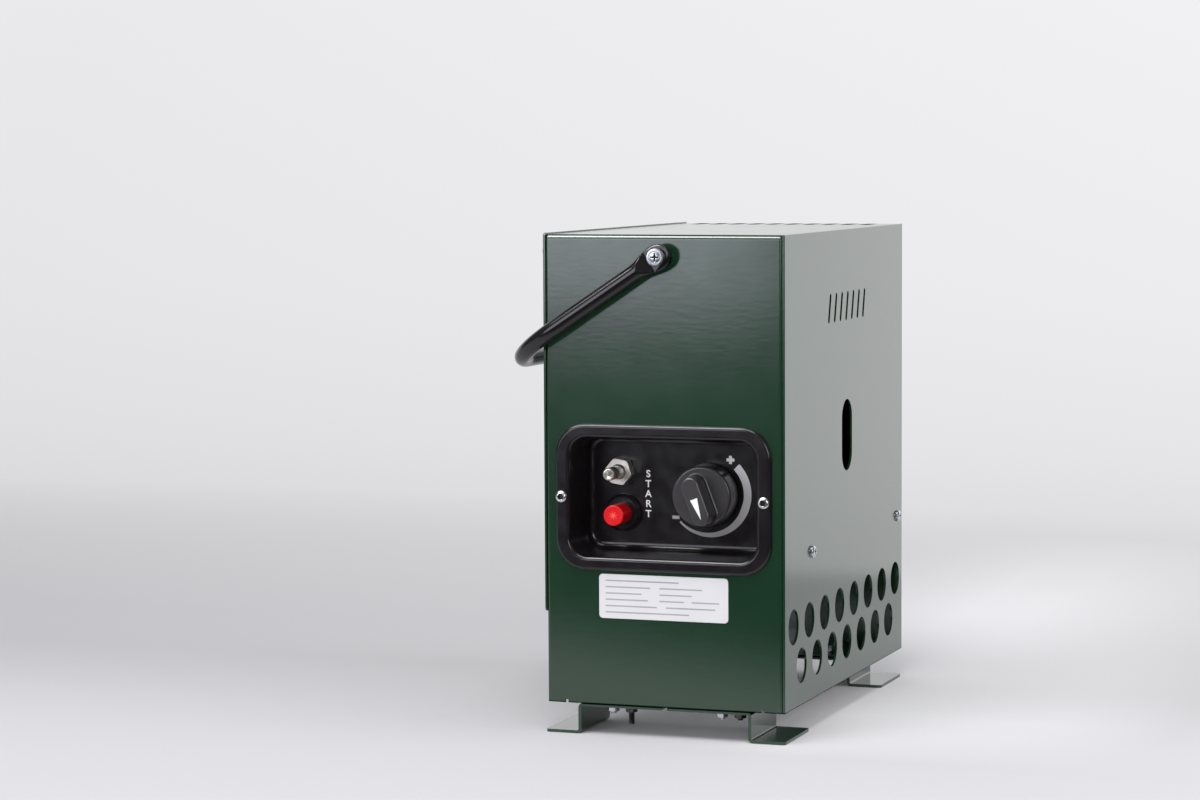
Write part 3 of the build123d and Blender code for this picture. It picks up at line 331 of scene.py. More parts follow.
# Name, light and dark tone, roughness and, for coats and plastics, relief in metres
finishes = {
    # The green coat paints shade in a thin band at the housing's lower edge.
    "green": powder_coat("green_powder_coat", (0.0074, 0.0325, 0.0148),
                         (0.0068, 0.0302, 0.0137), 0.145, 1.2e-5, 1.72, shell_low.z),
    "black_coat": powder_coat("black_powder_coat", (0.0075, 0.0065, 0.0075),
                              (0.0055, 0.005, 0.0055), 0.15, 1e-5, 1.5),
    "black": moulded_plastic("black_moulding", (0.0085, 0.0068, 0.0083),
                             (0.0070, 0.0056, 0.0068), 0.21, 0.4e-5, 1.5),
    "knob_black": moulded_plastic("knob_black", (0.030, 0.027, 0.030), (0.025, 0.023, 0.025),
                                  0.34, 0.8e-5, 1.52, polish=0.5),
    "red": moulded_plastic("red_moulding", (0.68, 0.003, 0.005), (0.62, 0.002, 0.004),
                           0.22, 0.3e-5),
    "star": moulded_plastic("star_print", (0.80, 0.085, 0.055), (0.76, 0.075, 0.05),
                            0.4, 0.3e-5),
    "white_print": moulded_plastic("white_print", (0.80, 0.80, 0.81), (0.74, 0.74, 0.75),
                                   0.5, 0.3e-5),
    "grey_print": faded_print("grey_print", (0.62, 0.61, 0.63), (0.19, 0.185, 0.19),
                              knob_z - DIAL_FADE, knob_z + DIAL_FADE),
    "label": moulded_plastic("label_foil", (0.64, 0.635, 0.645), (0.62, 0.615, 0.625),
                             0.42, 0.2e-5),
    "rule": moulded_plastic("label_rule", (0.36, 0.36, 0.37), (0.31, 0.31, 0.32), 0.5, 0.2e-5),
    "zinc": metal("zinc_plate", (0.62, 0.64, 0.67), (0.48, 0.50, 0.53), 0.30),
    "bright_zinc": metal("bright_zinc_plate", (0.76, 0.77, 0.79), (0.62, 0.63, 0.65), 0.27),
    "nickel": metal("nickel_plate", (0.80, 0.78, 0.71), (0.70, 0.68, 0.61), 0.34),
    "bright_nickel": metal("bright_nickel_plate", (0.84, 0.81, 0.76), (0.72, 0.69, 0.64), 0.30),
    # Blackened steel, also used as painted shade on the walls of screw recesses.
    "dark_steel_and_recess_shade": metal("blackened_steel", (0.10, 0.10, 0.10), (0.04, 0.04, 0.04), 0.32),
    "cast": metal("cast_aluminium", (0.62, 0.62, 0.61), (0.45, 0.45, 0.45), 0.50,
                  depth=2e-5, scale=900),
    "brass": metal("turned_brass", (0.78, 0.58, 0.28), (0.62, 0.45, 0.20), 0.25),
    "pipe": metal("drawn_pipe", (0.66, 0.66, 0.65), (0.52, 0.52, 0.52), 0.30),
    "stainless": metal("stainless", (0.58, 0.57, 0.55), (0.46, 0.45, 0.43), 0.32),
    "sheet": metal("aluminised_sheet", (0.62, 0.63, 0.64), (0.50, 0.51, 0.52), 0.42, depth=6e-6),
    "ceramic": moulded_plastic("white_ceramic", (0.78, 0.76, 0.71), (0.72, 0.70, 0.65),
                               0.22, 0.3e-5),
    "sleeve": moulded_plastic("lead_sleeve", (0.018, 0.018, 0.018), (0.012, 0.012, 0.012),
                              0.55, 1e-5),
}

worn_by = {
    "green": ["body_shell", "right_side_panel", "left_cover", "foot_front_left",
              "foot_front_right", "foot_rear_left", "foot_rear_right"],
    "black_coat": ["handle"],
    "black": ["control_recess", "piezo_body", "piezo_ring_nut"],
    "knob_black": ["knob"],
    "red": ["piezo_button"],
    "label": ["label_plate"],
    "zinc": ["foot_screws", "foot_nuts", "cover_screws", "cover_nuts", "side_screws",
             "side_nuts", "bezel_nuts", "handle_screws", "handle_nuts", "inlet_washer",
             "bezel_screws"],
    "nickel": ["inlet_nut", "inlet_locknut"],
    "bright_nickel": ["gas_inlet_nipple"],
    "dark_steel_and_recess_shade": ["foot_studs", "foot_stud_nuts", "handle_bushes"],
    "cast": ["valve_body"],
    "brass": ["valve_spindle", "valve_plunger", "injector_holder", "injector", "pipe_nuts",
              "valve_ring_nut"],
    "pipe": ["inlet_pipe", "burner_pipe"],
    "stainless": ["mixing_tube", "burner_tube", "burner_brackets", "thermocouple"],
    "sheet": ["chassis_tray", "heat_shield", "firebox"],
    "ceramic": ["spark_electrode"],
    "sleeve": ["piezo_lead"],
}


def dress_nodes():
    """Every CAD node gets its finish."""
    for finish, names in worn_by.items():
        for name in names:
            mesh = nodes[name].data
            mesh.materials.clear()
            mesh.materials.append(finishes[finish])


def piece_from(name, mesh, finish, body, recess_shade_finish=None):
    """Object from a mesh in the frame's own coordinates, riding a body.

    The second finish goes on the walls of cut recesses, as painted shade. Materials are set by
    index, because clearing them would reset the indices of the faces.
    """
    piece = put_in_scene(name, mesh)
    for i, wanted in enumerate([finish, recess_shade_finish or finish]):
        if i < len(mesh.materials):
            mesh.materials[i] = finishes[wanted]
        elif i == 0 or recess_shade_finish:
            mesh.materials.append(finishes[wanted])
    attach(piece, body)
    return piece


def mesh_from(name, shape):
    """Mesh from a bmesh, which it frees."""
    mesh = bpy.data.meshes.new(name)
    shape.to_mesh(mesh)
    shape.free()
    return mesh


def bridge(shape, rings):
    """Faces between successive rings; a ring of one vertex is a pole."""
    steps = max(len(ring) for ring in rings)
    for low, high in zip(rings, rings[1:]):
        for i in range(steps):
            j = (i + 1) % steps
            corners = [low[i % len(low)], low[j % len(low)],
                       high[j % len(high)], high[i % len(high)]]
            shape.faces.new(list(dict.fromkeys(corners)))


def prism_mesh(name, outlines, plane_y, thickness):
    """Thin plates that stand on a plane facing the front, one for each outline of (x, z)."""
    shape = bmesh.new()
    for outline in outlines:
        back = [shape.verts.new((x, plane_y, z)) for x, z in outline]
        face = [shape.verts.new((x, plane_y - thickness, z)) for x, z in outline]
        shape.faces.new(face)
        shape.faces.new(list(reversed(back)))
        bridge(shape, [back, face])
    bmesh.ops.recalc_face_normals(shape, faces=shape.faces)
    return mesh_from(name, shape)


def ring_of(shape, height, radius, steps):
    """Ring about Z; the radius is a length or a function of the share of a turn."""
    if radius == 0:
        return [shape.verts.new((0, 0, height))]
    ring = []
    for i in range(steps):
        r = radius(i / steps) if callable(radius) else radius
        angle = 2 * pi * i / steps
        ring.append(shape.verts.new((r * cos(angle), r * sin(angle), height)))
    return ring


SHARP_EDGE = radians(32)


def finished_mesh(name, shape):
    """Mesh from a bmesh, smooth but for its sharp edges."""
    bmesh.ops.recalc_face_normals(shape, faces=shape.faces)
    for face in shape.faces:
        face.smooth = True
    for edge in shape.edges:
        edge.smooth = len(edge.link_faces) == 2 and edge.calc_face_angle(0) < SHARP_EDGE
    return mesh_from(name, shape)


TURNED_STEPS = 48
FINE_STEPS = 64


def turned_mesh(name, profile, steps=TURNED_STEPS):
    """Body turned about Z from (radius, height) pairs, from pole to pole."""
    shape = bmesh.new()
    bridge(shape, [ring_of(shape, height, radius, steps) for radius, height in profile])
    return finished_mesh(name, shape)


THREAD_STEPS = 24
THREAD_ROWS = 6
THREAD_DEPTH = 0.55


def threaded_mesh(name, diameter, pitch, low, high):
    """Rod with a helical thread between two heights, tapered at its lower end."""
    shape = bmesh.new()
    rows = round((high - low) / pitch * THREAD_ROWS)
    depth = pitch * THREAD_DEPTH
    rings = [ring_of(shape, low, 0, THREAD_STEPS)]
    for row in range(rows + 1):
        height = low + (high - low) * row / rows
        start = min(1, (height - low) / pitch)

        def radius(turn):
            phase = (height / pitch - turn) % 1
            return diameter / 2 - depth * (abs(2 * phase - 1) * start + (1 - start))

        rings.append(ring_of(shape, height, radius, THREAD_STEPS))
    rings.append(ring_of(shape, high, 0, THREAD_STEPS))
    bridge(shape, rings)
    return finished_mesh(name, shape)


NUT_STEPS = 72
NUT_EDGE = 0.35 * MM
NUT_EDGE_SHARES = (0, 0.33, 0.66, 1)
NUT_FACE = 0.97
NUT_BEVEL = 1.73


def nut_mesh(name, flats, height, bore):
    """Hexagon nut with its corners turned off at both ends and an eased bore."""
    shape = bmesh.new()
    rises = [NUT_EDGE * share for share in NUT_EDGE_SHARES]
    rings = [nut_ring(shape, flats, rise, rise) for rise in rises]
    rings += [nut_ring(shape, flats, height - rise, rise) for rise in reversed(rises)]
    inside = bore / 2
    for level, radius in ((height, inside + NUT_EDGE), (height - NUT_EDGE, inside),
                          (NUT_EDGE, inside), (0, inside + NUT_EDGE)):
        rings.append(ring_of(shape, level, radius, NUT_STEPS))
    bridge(shape, rings + rings[:1])
    return finished_mesh(name, shape)


def nut_ring(shape, flats, height, from_end):
    """Ring of a nut's outside: the hexagon, cut by the bevel near an end."""
    limit = flats / 2 * NUT_FACE + from_end * NUT_BEVEL

    def radius(turn):
        off_middle = (turn * 2 * pi) % (pi / 3) - pi / 6
        return min(flats / 2 / cos(off_middle), limit)

    return ring_of(shape, height, radius, NUT_STEPS)


def recess_cutter(name, corners, low, high, taper):
    """Prism on an outline of (x, y), narrower at its lower end; its faces get the second finish,
    which paints shade on the walls of the recess it cuts.
    """
    shape = bmesh.new()
    bottom = [shape.verts.new((x * taper, y * taper, low)) for x, y in corners]
    top = [shape.verts.new((x, y, high)) for x, y in corners]
    shape.faces.new(bottom)
    shape.faces.new(top)
    bridge(shape, [bottom, top])
    for face in shape.faces:
        face.material_index = 1
    return finished_mesh(name, shape)


def carved(mesh, cutter):
    """Mesh with the cutter's room taken out of it."""
    # The second slot paints shade on the walls of the cut recess.
    for finish in ("zinc", "dark_steel_and_recess_shade"):
        mesh.materials.append(finishes[finish])
    body = put_in_scene("carved_body", mesh)
    tool = put_in_scene("carving_tool", cutter)
    cut = body.modifiers.new("cut", "BOOLEAN")
    cut.operation = "DIFFERENCE"
    cut.solver = "EXACT"
    cut.object = tool
    bpy.context.view_layer.update()
    evaluated = body.evaluated_get(bpy.context.evaluated_depsgraph_get())
    result = bpy.data.meshes.new_from_object(evaluated)
    bpy.data.objects.remove(body)
    bpy.data.objects.remove(tool)
    return result


def merged(name, meshes):
    """One mesh from several."""
    shape = bmesh.new()
    for mesh in meshes:
        shape.from_mesh(mesh)
    return mesh_from(name, shape)


WELD = 1e-6
PLACE_DIGITS = 5


def solids_of(node):
    """Lowest and highest corner of each separate solid of a CAD node, in order of place."""
    shape = bmesh.new()
    shape.from_mesh(nodes[node].data)
    bmesh.ops.remove_doubles(shape, verts=shape.verts, dist=WELD)
    seen = set()
    boxes = []
    for first in shape.verts:
        if first in seen:
            continue
        seen.add(first)
        waiting = [first]
        members = []
        while waiting:
            vertex = waiting.pop()
            members.append(vertex.co.copy())
            for edge in vertex.link_edges:
                other = edge.other_vert(vertex)
                if other not in seen:
                    seen.add(other)
                    waiting.append(other)
        low = Vector([min(co[i] for co in members) for i in range(3)])
        high = Vector([max(co[i] for co in members) for i in range(3)])
        boxes.append((low, high))
    shape.free()
    return sorted(boxes, key=lambda box: tuple(round(value, PLACE_DIGITS) for value in box[0]))


def stand(mesh, start, direction):
    """Mesh turned from Z to a direction and moved to a start."""
    turn = Vector(direction).to_track_quat("Z", "Y").to_matrix().to_4x4()
    mesh.transform(Matrix.Translation(start) @ turn)
    return mesh


TRIM_LENGTHS = 5


def stand_in(node, finish, direction_of, mesh_of, trim=0.0):
    """Piece with a detailed copy for every solid of a fastener node, which it replaces.

    The direction is one for all solids or a function of a solid's box.
    """
    parts = []
    for low, high in solids_of(node):
        direction = Vector(direction_of(low, high) if callable(direction_of) else direction_of)
        length = abs((high - low).dot(direction))
        start = (low + high) / 2 - direction * length / 2
        if length > trim * TRIM_LENGTHS:
            start += direction * trim
            length -= trim
        parts.append(stand(mesh_of(length).copy(), start, direction))
    # Recess walls get the dark steel as painted shade.
    piece = piece_from(f"{node}_detailed", merged(node, parts), finish, nodes[node]["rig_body"],
                       "dark_steel_and_recess_shade")
    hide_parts(node)


M4 = 4.0 * MM
M4_PITCH = 0.7 * MM
M4_HEAD = 8.0 * MM
M4_HEAD_HEIGHT = 2.2 * MM
M4_NUT = 7.0 * MM
M4_NUT_HEIGHT = 3.2 * MM
M6 = 6.0 * MM
M6_PITCH = 1.0 * MM
M6_HEAD = 11.6 * MM
M6_HEAD_HEIGHT = 3.8 * MM
BUTTON_HEAD = 7.6 * MM
STUD_TRIM = 2.8 * MM
HEAD_OVERLAP = 0.2 * MM
DOME_RIM = 0.35
DOME_STEPS = 8
PAN_CROWN = 0.28
BUTTON_CROWN = 0.27

# Recesses: size and stroke, then the cutter's floor, top and taper
CROSS = (4.4 * MM, 0.95 * MM)
CROSS_CUT = (0.7 * MM, 2.5 * MM, 0.55)
SOCKET = 3.9 * MM
SOCKET_CUT = (0.5 * MM, 2.5 * MM, 0.96)
PIVOT_CROSS = (5.6 * MM, 1.15 * MM)
PIVOT_CROSS_CUT = (M6_HEAD_HEIGHT - 2.2 * MM, M6_HEAD_HEIGHT + 0.3 * MM, 0.5)

# Pivot head in millimetres: steps in from the rim or radius, each with its depth below the top
PIVOT_RIM = ((0, 0.9), (0.25, 0.45), (0.7, 0.3))
PIVOT_CENTRE = ((4.3, 0.3), (4.05, 0.75), (3.75, 0.75), (3.45, 0.25), (2.6, 0.05), (1.5, 0))


def dome(radius, height, flat):
    """Profile of a domed head: straight rim, rounded shoulder and flat crown."""
    rim = height * DOME_RIM
    points = [(0, 0), (radius, 0), (radius, rim)]
    for i in range(1, DOME_STEPS + 1):
        angle = pi / 2 * i / DOME_STEPS
        points.append((flat + (radius - flat) * cos(angle), rim + (height - rim) * sin(angle)))
    return points + [(0, height)]


def hexagon_corners(flats):
    """Outline of a hexagon socket."""
    r = flats / 2 / cos(pi / 6)
    return [(r * cos(pi / 3 * i), r * sin(pi / 3 * i)) for i in range(6)]


def screw_mesh(name, head, thread, pitch, head_height, length):
    """Screw whose tip is at Z = 0 and whose head ends at its length."""
    top = head.copy()
    top.transform(Matrix.Translation((0, 0, length - head_height)))
    rod = threaded_mesh(name, thread, pitch, 0, length - head_height + HEAD_OVERLAP)
    return merged(name, [rod, top])


def pan_head():
    """M4 pan head with a cross recess."""
    head = turned_mesh("pan_head", dome(M4_HEAD / 2, M4_HEAD_HEIGHT, M4_HEAD * PAN_CROWN))
    return carved(head, recess_cutter("cross", plus_outline(0, 0, *CROSS), *CROSS_CUT))


def button_head():
    """M4 button head with a hexagon socket."""
    head = turned_mesh("button_head",
                       dome(BUTTON_HEAD / 2, M4_HEAD_HEIGHT, BUTTON_HEAD * BUTTON_CROWN))
    return carved(head, recess_cutter("socket", hexagon_corners(SOCKET), *SOCKET_CUT))


def pivot_head():
    """M6 head of the handle's pivot: flat rim, groove, raised centre and a cross recess."""
    r = M6_HEAD / 2
    h = M6_HEAD_HEIGHT
    profile = [(0, 0), (r, 0)]
    profile += [(r - inset * MM, h - drop * MM) for inset, drop in PIVOT_RIM]
    profile += [(radius * MM, h - drop * MM) for radius, drop in PIVOT_CENTRE]
    head = turned_mesh("pivot_head", profile + [(0, h)], FINE_STEPS)
    return carved(head, recess_cutter("cross", plus_outline(0, 0, *PIVOT_CROSS),
                                      *PIVOT_CROSS_CUT))


UP = (0, 0, 1)
DOWN = (0, 0, -1)
LEFT = (-1, 0, 0)
RIGHT = (1, 0, 0)
FRONT = (0, -1, 0)
BACK = (0, 1, 0)
INNER_HEAD_RISE = 2.5 * MM
INNER_TIP_DROP = 5 * MM


def foot_screw_way(low, high):
    """Up for the foot screws whose head is in the housing, down for those from below."""
    from_inside = (high.z > shell_low.z + INNER_HEAD_RISE
                   and low.z < shell_low.z - INNER_TIP_DROP)
    return UP if from_inside else DOWN


def outward(low, high):
    """Towards the nearer of front and back."""
    return FRONT if low.y < 0 else BACK


def fasteners():
    """Detailed screws, studs and nuts in place of the plain ones."""
    pan_screw = partial(screw_mesh, "pan_screw", pan_head(), M4, M4_PITCH, M4_HEAD_HEIGHT)
    button_screw = partial(screw_mesh, "button_screw", button_head(), M4, M4_PITCH,
                           M4_HEAD_HEIGHT)
    pivot_screw = partial(screw_mesh, "pivot_screw", pivot_head(), M6, M6_PITCH, M6_HEAD_HEIGHT)
    m4_nut = nut_mesh("m4_nut", M4_NUT, M4_NUT_HEIGHT, M4)

    def nut(length):
        return m4_nut

    stand_in("foot_screws", "zinc", foot_screw_way, pan_screw)
    stand_in("foot_studs", "dark_steel_and_recess_shade", UP, pan_screw, STUD_TRIM)
    stand_in("foot_nuts", "zinc", UP, nut)
    stand_in("foot_stud_nuts", "dark_steel_and_recess_shade", UP, nut)
    stand_in("cover_screws", "zinc", LEFT, pan_screw)
    stand_in("side_screws", "zinc", RIGHT, pan_screw)
    stand_in("bezel_screws", "bright_zinc", FRONT, button_screw)
    stand_in("handle_screws", "zinc", outward, pivot_screw)


NIPPLE_RADIUS = 4.25 * MM
NIPPLE_NECK = 3.3 * MM
NIPPLE_MOUTH = 3.1 * MM
NIPPLE_BORE = 1.1 * MM
NIPPLE_COLLAR = 4.65 * MM
COLLAR_START = 0.3 * MM
COLLAR_EDGE = 1.0 * MM
COLLAR_END = 1.6 * MM
COLLAR_CHAMFER = 0.5 * MM

# Form of the nipple from its neck into its mouth: radius and millimetres from the tip
NIPPLE_FORM = (
    (NIPPLE_RADIUS, 9.6), (NIPPLE_RADIUS - 0.4 * MM, 9.0), (NIPPLE_NECK, 8.2),
    (NIPPLE_NECK, 3.4), (NIPPLE_RADIUS - 0.5 * MM, 2.6), (NIPPLE_RADIUS - 0.1 * MM, 2.1),
    (NIPPLE_RADIUS - 0.05 * MM, 1.2), (NIPPLE_RADIUS - 0.3 * MM, 0.5),
    (NIPPLE_RADIUS - 0.7 * MM, 0.1), (NIPPLE_MOUTH, 0), (NIPPLE_MOUTH - 0.3 * MM, 0.3),
    (NIPPLE_MOUTH - 0.5 * MM, 1.0), (NIPPLE_BORE, 2.3), (NIPPLE_BORE, 6.0), (0, 6.0))


def nipple():
    """Turned hose nipple: collar at the nut, neck, rounded bead and a conical seat in its mouth."""
    low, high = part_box("gas_inlet_nipple")
    length = high.y - low.y
    face = length - (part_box("inlet_nut")[0].y - low.y)
    profile = [(0, 0), (NIPPLE_RADIUS, 0), (NIPPLE_RADIUS, face - COLLAR_START),
               (NIPPLE_COLLAR, face - COLLAR_START), (NIPPLE_COLLAR, face + COLLAR_EDGE),
               (NIPPLE_COLLAR - COLLAR_CHAMFER, face + COLLAR_END),
               (NIPPLE_RADIUS, face + COLLAR_END)]
    profile += [(radius, length - from_tip * MM) for radius, from_tip in NIPPLE_FORM]
    middle = (low + high) / 2
    mesh = stand(turned_mesh("nipple", profile, FINE_STEPS),
                 Vector((middle.x, high.y, middle.z)), FRONT)
    piece = piece_from("gas_inlet_nipple_detailed", mesh, "bright_nickel", "base")
    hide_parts("gas_inlet_nipple")


EYE_RADIUS = 8.5 * MM
EYE_HALF = 2.0 * MM
EYE_SIDE = 2.9 * MM
EYE_CREASE = 6.3 * MM
EYE_SIDE_END = EYE_CREASE + 2 * MM
EYE_SLOPE_END = 15.0 * MM
EYE_NARROW_START = 2.0 * MM
EYE_NARROW_END = 19.0 * MM
EYE_STEPS = 10
TUBE_RADIUS = 5.5 * MM
ARM_STEPS = 70
ARM_CROWDING = 1.6
HANDLE_BEND = 40 * MM
HANDLE_BEND_STEPS = 24
HANDLE_TURN = radians(33.4)
HANDLE_STEPS = 56
PIVOT_HOLE = 4.05 * MM
PIVOT_HOLE_REACH = 1.2


def smooth_share(value, low, high):
    """Share from 0 to 1 with level ends."""
    t = min(1, max(0, (value - low) / (high - low)))
    return t * t * (3 - 2 * t)


def handle_section(along):
    """Half width, half height and flat level of the handle at a distance from its pivot."""
    if along < 0:
        width = sqrt(max(0, EYE_RADIUS ** 2 - along ** 2))
    else:
        narrowed = smooth_share(along, EYE_NARROW_START, EYE_NARROW_END)
        width = EYE_RADIUS + (TUBE_RADIUS - EYE_RADIUS) * narrowed
    height = EYE_SIDE + (TUBE_RADIUS - EYE_SIDE) * smooth_share(along, 0, EYE_SIDE_END)
    sloped = max(0, min(1, (along - EYE_CREASE) / (EYE_SLOPE_END - EYE_CREASE)))
    return width, height, EYE_HALF + (TUBE_RADIUS - EYE_HALF) * sloped


def handle_path(low, high, pivot):
    """Place, outward direction and distance from the pivot of every section of the handle."""
    arm = high.y - TUBE_RADIUS
    out = Vector((-cos(HANDLE_TURN), 0, -sin(HANDLE_TURN)))
    reach = (pivot.x - TUBE_RADIUS - low.x) / cos(HANDLE_TURN)
    straight = reach - HANDLE_BEND
    stations = [-EYE_RADIUS + EYE_RADIUS * (1 - cos(pi / 2 * i / EYE_STEPS))
                for i in range(EYE_STEPS)]
    stations += [straight * (i / ARM_STEPS) ** ARM_CROWDING for i in range(ARM_STEPS + 1)]
    path = [(pivot + out * d + Vector((0, arm, 0)), Vector(BACK), d) for d in stations]
    centre = pivot + out * straight + Vector((0, arm - HANDLE_BEND, 0))
    for i in range(1, HANDLE_BEND_STEPS + 1):
        angle = pi / 2 * i / HANDLE_BEND_STEPS
        normal = Vector((0, cos(angle), 0)) + out * sin(angle)
        path.append((centre + normal * HANDLE_BEND, normal, reach))
    mirror = Vector((1, -1, 1))
    return path + [(place * mirror, normal * mirror, d) for place, normal, d in reversed(path)]


def handle():
    """Tube handle whose pressed flat ends have a crease beside each pivot screw."""
    low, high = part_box("handle")
    pivot = Vector((high.x - EYE_RADIUS, 0, middle_of("handle_screws")[2]))
    across = Vector((sin(HANDLE_TURN), 0, -cos(HANDLE_TURN)))
    shape = bmesh.new()
    rings = []
    for place, normal, along in handle_path(low, high, pivot):
        width, height, flat = handle_section(along)
        if width < WELD:
            rings.append([shape.verts.new(place)])
            continue
        ring = []
        for i in range(HANDLE_STEPS):
            angle = 2 * pi * i / HANDLE_STEPS
            level = max(-flat, min(flat, height * sin(angle)))
            ring.append(shape.verts.new(place + across * (width * cos(angle)) + normal * level))
        rings.append(ring)
    bridge(shape, rings)
    reach = (high.y - TUBE_RADIUS) * PIVOT_HOLE_REACH
    hole = turned_mesh("pivot_hole", [(0, -reach), (PIVOT_HOLE, -reach), (PIVOT_HOLE, reach),
                                      (0, reach)])
    hole.transform(Matrix.Translation(pivot) @ Matrix.Rotation(pi / 2, 4, "X"))
    mesh = carved(finished_mesh("handle", shape), hole)
    piece = piece_from("handle_detailed", mesh, "black_coat", "carry_handle")
    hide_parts("handle")


PRINT_THICKNESS = 0.06 * MM
DIAL_OUTER = 28.07 * MM
DIAL_WIDE_END = 45
DIAL_THIN_END = -137.5
DIAL_TAPER_START = -25
DIAL_WIDE = 5.15 * MM
DIAL_THIN = 1.2 * MM
DIAL_STEPS = 72
DIAL_BODY = 0.9


def dial_arc():
    """Tapering arc round the knob, wide towards the plus."""
    face = floor_y - PRINT_THICKNESS
    back = face + PRINT_THICKNESS * DIAL_BODY
    shape = bmesh.new()
    rings = []
    for i in range(DIAL_STEPS + 1):
        turn = DIAL_WIDE_END + (DIAL_THIN_END - DIAL_WIDE_END) * (i / DIAL_STEPS)
        angle = radians(turn)
        taper = max(0, (turn - DIAL_TAPER_START) / (DIAL_THIN_END - DIAL_TAPER_START))
        inside = DIAL_OUTER - (DIAL_WIDE + (DIAL_THIN - DIAL_WIDE) * taper)
        corners = ((DIAL_OUTER, face), (inside, face), (inside, back), (DIAL_OUTER, back))
        rings.append([shape.verts.new((knob_x + r * cos(angle), y, knob_z + r * sin(angle)))
                      for r, y in corners])
    bridge(shape, rings)
    for end in (rings[0], rings[-1]):
        shape.faces.new(end)
    bmesh.ops.recalc_face_normals(shape, faces=shape.faces)
    piece_from("dial_arc", mesh_from("dial_arc", shape), "grey_print", "base")


def bar_outline(x, z, width, height):
    """Rectangle about a centre."""
    return [(x - width / 2, z - height / 2), (x + width / 2, z - height / 2),
            (x + width / 2, z + height / 2), (x - width / 2, z + height / 2)]


def plus_outline(x, z, size, stroke):
    """Plus sign or cross recess as one outline."""
    a = size / 2
    b = stroke / 2
    steps = [(b, a), (-b, a), (-b, b), (-a, b), (-a, -b), (-b, -b), (-b, -a), (b, -a), (b, -b),
             (a, -b), (a, b), (b, b)]
    return [(x + dx, z + dz) for dx, dz in steps]


# Signs of the dial: place from the knob's axis, then sizes
PLUS_PLACE = (14.0 * MM, 22.4 * MM)
PLUS_SIZES = (5.3 * MM, 2.0 * MM)
MINUS_PLACE = (-23.1 * MM, -15.9 * MM)
MINUS_SIZES = (4.8 * MM, 2.2 * MM)


def dial_signs():
    """Plus and minus beside the ends of the arc."""
    outlines = [outline(knob_x + dx, knob_z + dz, *sizes)
                for outline, (dx, dz), sizes in ((plus_outline, PLUS_PLACE, PLUS_SIZES),
                                                 (bar_outline, MINUS_PLACE, MINUS_SIZES))]
    mesh = prism_mesh("dial_signs", outlines, floor_y, PRINT_THICKNESS)
    piece_from("dial_signs", mesh, "grey_print", "base")


START_X = -20.9 * MM
START_Z = 153.8 * MM
LETTER_PITCH = 6.5 * MM
LETTER_HEIGHT = 4.5 * MM
LETTER_SWELL = 0.12 * MM
CAPITAL_SHARE = 0.70


def start_word():
    """The word START, one letter under the other beside the igniter."""
    word = "START"
    for i, letter in enumerate(word):
        text = bpy.data.curves.new(f"letter_{i + 1}", "FONT")
        text.body = letter
        text.align_x = "CENTER"
        text.align_y = "CENTER"
        text.size = LETTER_HEIGHT / CAPITAL_SHARE
        text.offset = LETTER_SWELL
        text.extrude = PRINT_THICKNESS / 2
        holder = put_in_scene(f"letter_{i + 1}", text)
        z = START_Z + ((len(word) - 1) / 2 - i) * LETTER_PITCH
        place = (body_x + START_X, floor_y - PRINT_THICKNESS / 2, z)
        holder.matrix_world = Matrix.Translation(place) @ Matrix.Rotation(pi / 2, 4, "X")
        bpy.context.view_layer.update()
        evaluated = holder.evaluated_get(bpy.context.evaluated_depsgraph_get())
        mesh = bpy.data.meshes.new_from_object(evaluated)
        mesh.transform(holder.matrix_world)
        bpy.data.objects.remove(holder)
        piece_from(f"start_letter_{i + 1}", mesh, "white_print", "base")


POINTER_ANGLE = radians(-69.4)
POINTER_LENGTH = 14.1 * MM
POINTER_WIDTH = 5.0 * MM


def pointer():
    """White wedge on the knob's bar."""
    along = (cos(POINTER_ANGLE), sin(POINTER_ANGLE))
    across = (-along[1], along[0])
    outline = [(knob_x + along[0] * u + across[0] * v, knob_z + along[1] * u + across[1] * v)
               for u, v in ((0, POINTER_WIDTH / 2), (0, -POINTER_WIDTH / 2), (POINTER_LENGTH, 0))]
    mesh = prism_mesh("pointer", [outline], knob_low.y, PRINT_THICKNESS)
    piece_from("pointer", mesh, "white_print", "control_knob")


STAR_RAYS = 8
STAR_OUTER = 3.5 * MM
STAR_INNER = 0.95 * MM


def button_star():
    """Spark sign on the red button."""
    outline = []
    for i in range(2 * STAR_RAYS):
        angle = pi * i / STAR_RAYS + pi / STAR_RAYS / 2
        r = STAR_OUTER if i % 2 == 0 else STAR_INNER
        outline.append((button_x + r * cos(angle), button_z + r * sin(angle)))
    mesh = prism_mesh("button_star", [outline], button_low.y, PRINT_THICKNESS)
    piece_from("button_star", mesh, "star", "igniter_button")


RULE_HEIGHT = 0.9 * MM
RULE_SHARES = ((0.05, 0.62), (0.05, 0.40, 0.47, 0.80), (0.05, 0.33, 0.47, 0.72),
               (0.05, 0.38, 0.47, 0.66, 0.72, 0.93), (0.05, 0.45, 0.52, 0.90), (0.05, 0.70))


def label_rules():
    """Faint grey rules that stand for printed lines on the label."""
    width = label_high.x - label_low.x
    height = label_high.z - label_low.z
    outlines = []
    for row, shares in enumerate(RULE_SHARES):
        z = label_high.z - height * (row + 1) / (len(RULE_SHARES) + 1)
        for start, end in zip(shares[0::2], shares[1::2]):
            middle = label_low.x + width * (start + end) / 2
            outlines.append(bar_outline(middle, z, width * (end - start), RULE_HEIGHT))
    mesh = prism_mesh("label_rules", outlines, label_low.y, PRINT_THICKNESS / 2)
    piece_from("label_rules", mesh, "rule", "base")


